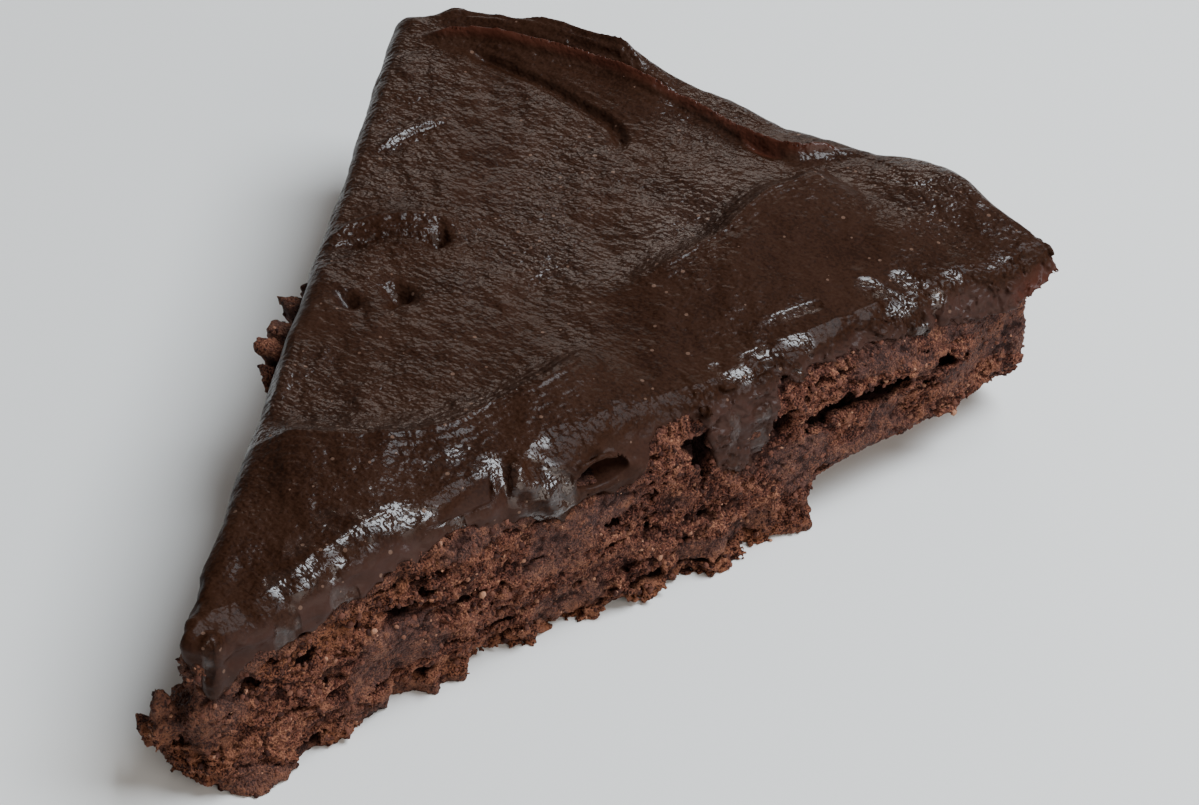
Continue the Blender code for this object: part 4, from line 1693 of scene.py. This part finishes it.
@dataclass
class LooseCrumbs:
    """Grains of crumb that cling to a block's torn skin, joined into one piece."""

    name: str
    count: int
    seed: int
    smallest: float = 0.10 * MM
    largest: float = 0.42 * MM
    stretch: tuple = (0.6, 1.35)
    dents: tuple = (0.72, 1.2)
    sunk_share: float = 0.35
    deepest: float = -0.7
    lowest: float = 0.15 * MM
    largest_face: float = 1e-6

    @staticmethod
    def ball() -> tuple:
        """A ball of twenty triangles.

        Returns:
            Its corners, and the corner numbers of its faces.
        """
        golden = (1 + math.sqrt(5)) / 2
        corners = [(-1, golden, 0), (1, golden, 0), (-1, -golden, 0), (1, -golden, 0)]
        corners += [(z, x, y) for x, y, z in corners[:4]] + [(y, z, x) for x, y, z in corners[:4]]
        corners = np.array(corners, float) / math.hypot(1, golden)
        faces = []
        for a in range(12):
            for b in range(a + 1, 12):
                for c in range(b + 1, 12):
                    trio = corners[[a, b, c]]
                    sides = np.linalg.norm(trio - np.roll(trio, 1, axis=0), axis=1)
                    if sides.max() < 1.2:
                        out = np.dot(np.cross(trio[1] - trio[0], trio[2] - trio[0]), trio.mean(axis=0))
                        faces.append((a, b, c) if out > 0 else (a, c, b))
        return corners, np.array(faces)

    def build(self, blocks: list) -> bpy.types.Object:
        """Scatters the grains over the skins of the sponge blocks.

        Args:
            blocks: pairs of a sponge block and the share of the grains that cling to it.

        Returns:
            The new piece.
        """
        rng = np.random.default_rng(self.seed)
        parts = [self.scatter(block, round(self.count * share), rng) for block, share in blocks]
        grains = np.concatenate(parts)
        numbers = self.ball()[1][None] + 12 * np.arange(len(grains))[:, None, None]
        piece = new_piece(self.name, grains.reshape(-1, 3), numbers.reshape(-1, 3).tolist())
        paint_values(piece, "tone", np.repeat(rng.random(len(grains)) ** 1.3, 12))
        return piece

    def scatter(self, block: bpy.types.Object, count: int, rng: np.random.Generator) -> np.ndarray:
        """Places grains on one block's skin.

        Args:
            block: the sponge block.
            count: how many grains to place.
            rng: the random numbers to use.

        Returns:
            The twelve corners of each grain.
        """
        mesh = block.data
        faces = len(mesh.polygons)
        centres, normals, areas = np.empty(faces * 3), np.empty(faces * 3), np.empty(faces)
        mesh.polygons.foreach_get("center", centres)
        mesh.polygons.foreach_get("normal", normals)
        mesh.polygons.foreach_get("area", areas)
        centres, normals = centres.reshape(-1, 3), normals.reshape(-1, 3)
        values = np.empty(len(mesh.vertices))
        mesh.attributes["stand_out"].data.foreach_get("value", values)
        starts = np.empty(faces, int)
        mesh.polygons.foreach_get("loop_start", starts)
        corners = np.empty(len(mesh.loops), int)
        mesh.loops.foreach_get("vertex_index", corners)
        out = values[corners[starts]]
        weight = areas * (out > self.deepest) * (centres[:, 2] > self.lowest) * (areas < self.largest_face)
        chosen = rng.choice(faces, count, p=weight / weight.sum())
        size = self.smallest + (self.largest - self.smallest) * rng.random(count) ** 2.5
        stretch = rng.uniform(*self.stretch, (count, 1, 3))
        dents = rng.uniform(*self.dents, (count, 12, 1))
        turns = np.linalg.qr(rng.normal(size=(count, 3, 3)))[0]
        shapes = np.einsum("nij,nkj->nki", turns, self.ball()[0] * stretch * dents) * size[:, None, None]
        places = centres[chosen] + normals[chosen] * (size * self.sunk_share)[:, None]
        grains = shapes + places[:, None, :]
        grains[:, :, 2] = np.maximum(grains[:, :, 2], 0.02 * MM)
        return grains


@dataclass(frozen=True)
class Studio:
    """The plain floor, the soft lights and the camera."""

    camera_from_tip: tuple = (145.09 * MM, -163.51 * MM, 234.57 * MM)
    pitch: float = math.radians(39.69)
    yaw: float = -0.5368
    tilt: float = 0.0245
    lens: float = 89.84
    floor_half: float = 1.2
    floor_colour: tuple = (0.80, 0.79, 0.77, 1.0)
    floor_roughness: float = 0.55
    world_colour: tuple = (1.0, 0.96, 0.92, 1.0)
    world_strength: float = 0.15
    lights: tuple = (
        ("window", (0.32, 0.24, 0.66), (0.44, 0.44), 10.5, (0.85, 0.93, 1.0)),
        ("sky", (-0.40, 0.74, 0.34), (0.42, 0.22), 0.85, (1.0, 0.90, 0.82)),
        ("front_fill", (0.75, -0.35, 0.40), (0.8, 0.6), 4.8, (1.0, 0.95, 0.88)),
    )

    def add_camera(self) -> None:
        """Places the camera and makes it the scene's own."""
        facing = Vector((
            math.sin(self.yaw) * math.cos(self.pitch),
            math.cos(self.yaw) * math.cos(self.pitch),
            -math.sin(self.pitch),
        ))
        level = Vector((math.cos(self.yaw), -math.sin(self.yaw), 0.0))
        upward = level.cross(facing)
        right = math.cos(self.tilt) * level + math.sin(self.tilt) * upward
        up = math.cos(self.tilt) * upward - math.sin(self.tilt) * level
        data = bpy.data.cameras.new("camera")
        data.lens = self.lens
        data.sensor_width = 36.0
        data.clip_start = 0.01
        camera = bpy.data.objects.new("camera", data)
        turn = Matrix((right, up, -facing)).transposed().to_4x4()
        place = WEDGE.tip + Vector(self.camera_from_tip)
        camera.matrix_world = Matrix.Translation(place) @ turn
        bpy.context.scene.collection.objects.link(camera)
        bpy.context.scene.camera = camera

    def add_light(self, name: str, place: tuple, size: tuple, power: float, colour: tuple) -> None:
        """Hangs one soft rectangular light that faces the middle of the slice.

        Args:
            name: the light's name.
            place: where it hangs.
            size: its two sides.
            power: its power in watts.
            colour: its colour.
        """
        data = bpy.data.lights.new(name, "AREA")
        data.shape = "RECTANGLE"
        data.size, data.size_y = size
        data.energy = power
        data.color = colour
        light = bpy.data.objects.new(name, data)
        light.location = place
        light.rotation_euler = (Vector((0, 0, 0.01)) - Vector(place)).to_track_quat("-Z", "Y").to_euler()
        bpy.context.scene.collection.objects.link(light)

    def build(self) -> None:
        """Lays the floor, lights it, and places the camera."""
        corners = self.floor_half * np.array([(-1, -1, 0), (1, -1, 0), (1, 1, 0), (-1, 1, 0)], float)
        floor = new_piece("floor", corners, [(0, 1, 2, 3)], smooth=False)
        material, _, shader = new_material("pale_floor", self.floor_roughness)
        shader["Base Color"].default_value = self.floor_colour
        floor.data.materials.append(material)
        for light in self.lights:
            self.add_light(*light)
        world = bpy.data.worlds.new("studio")
        world.use_nodes = True
        background = world.node_tree.nodes["Background"].inputs
        background["Color"].default_value = self.world_colour
        background["Strength"].default_value = self.world_strength
        bpy.context.scene.world = world
        self.add_camera()


def main() -> None:
    """Builds the slice's pieces in order and reports each."""
    logging.basicConfig(level=logging.INFO, format="%(message)s")
    Studio().build()
    effects = Effects()
    crumb = CrumbFinish().make(effects)
    loose = GrainFinish().make(effects)
    fudge = FrostingFinish().make(effects)
    pieces = []

    blocks = (
        SpongeBlock("sponge_front", *metres(((-10, -3.6, -0.6), (58.4, 7.5, 26.5), 0.25))),
        SpongeBlock("sponge_end", *metres(((57, -3.6, -0.6), (118, 7.5, 26.5), 0.25))),
        SpongeBlock("sponge_back", *metres(((-10, 5, -0.9), (118, 88, 24), 0.48))),
    )
    for block in blocks:
        piece = block.build()
        piece.data.materials.append(crumb)
        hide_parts(Food.SPONGE.value)
        pieces.append(piece)
    grains = LooseCrumbs("loose_crumbs", 9900, 5).build(list(zip(pieces, (0.34, 0.30, 0.36))))
    grains.data.materials.append(loose)
    pieces.append(grains)
    coats = (
        FrostingCoat("frosting_edge", *metres(((-4, -4, 9), (121, 9, 30), 0.24))),
        FrostingCoat("frosting_spread", *metres(((-4, 6.6, 13), (121, 88, 30), 0.36))),
    )
    for coat in coats:
        piece = coat.build(blocks[0])
        piece.data.materials.append(fudge)
        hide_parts(Food.FROSTING.value)
        pieces.append(piece)
    for piece in pieces:
        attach(piece, "root")
        triangles = sum(len(face.vertices) - 2 for face in piece.data.polygons)
        LOG.info("%s: %d triangles", piece.name, triangles)


if __name__ == "__main__":
    main()
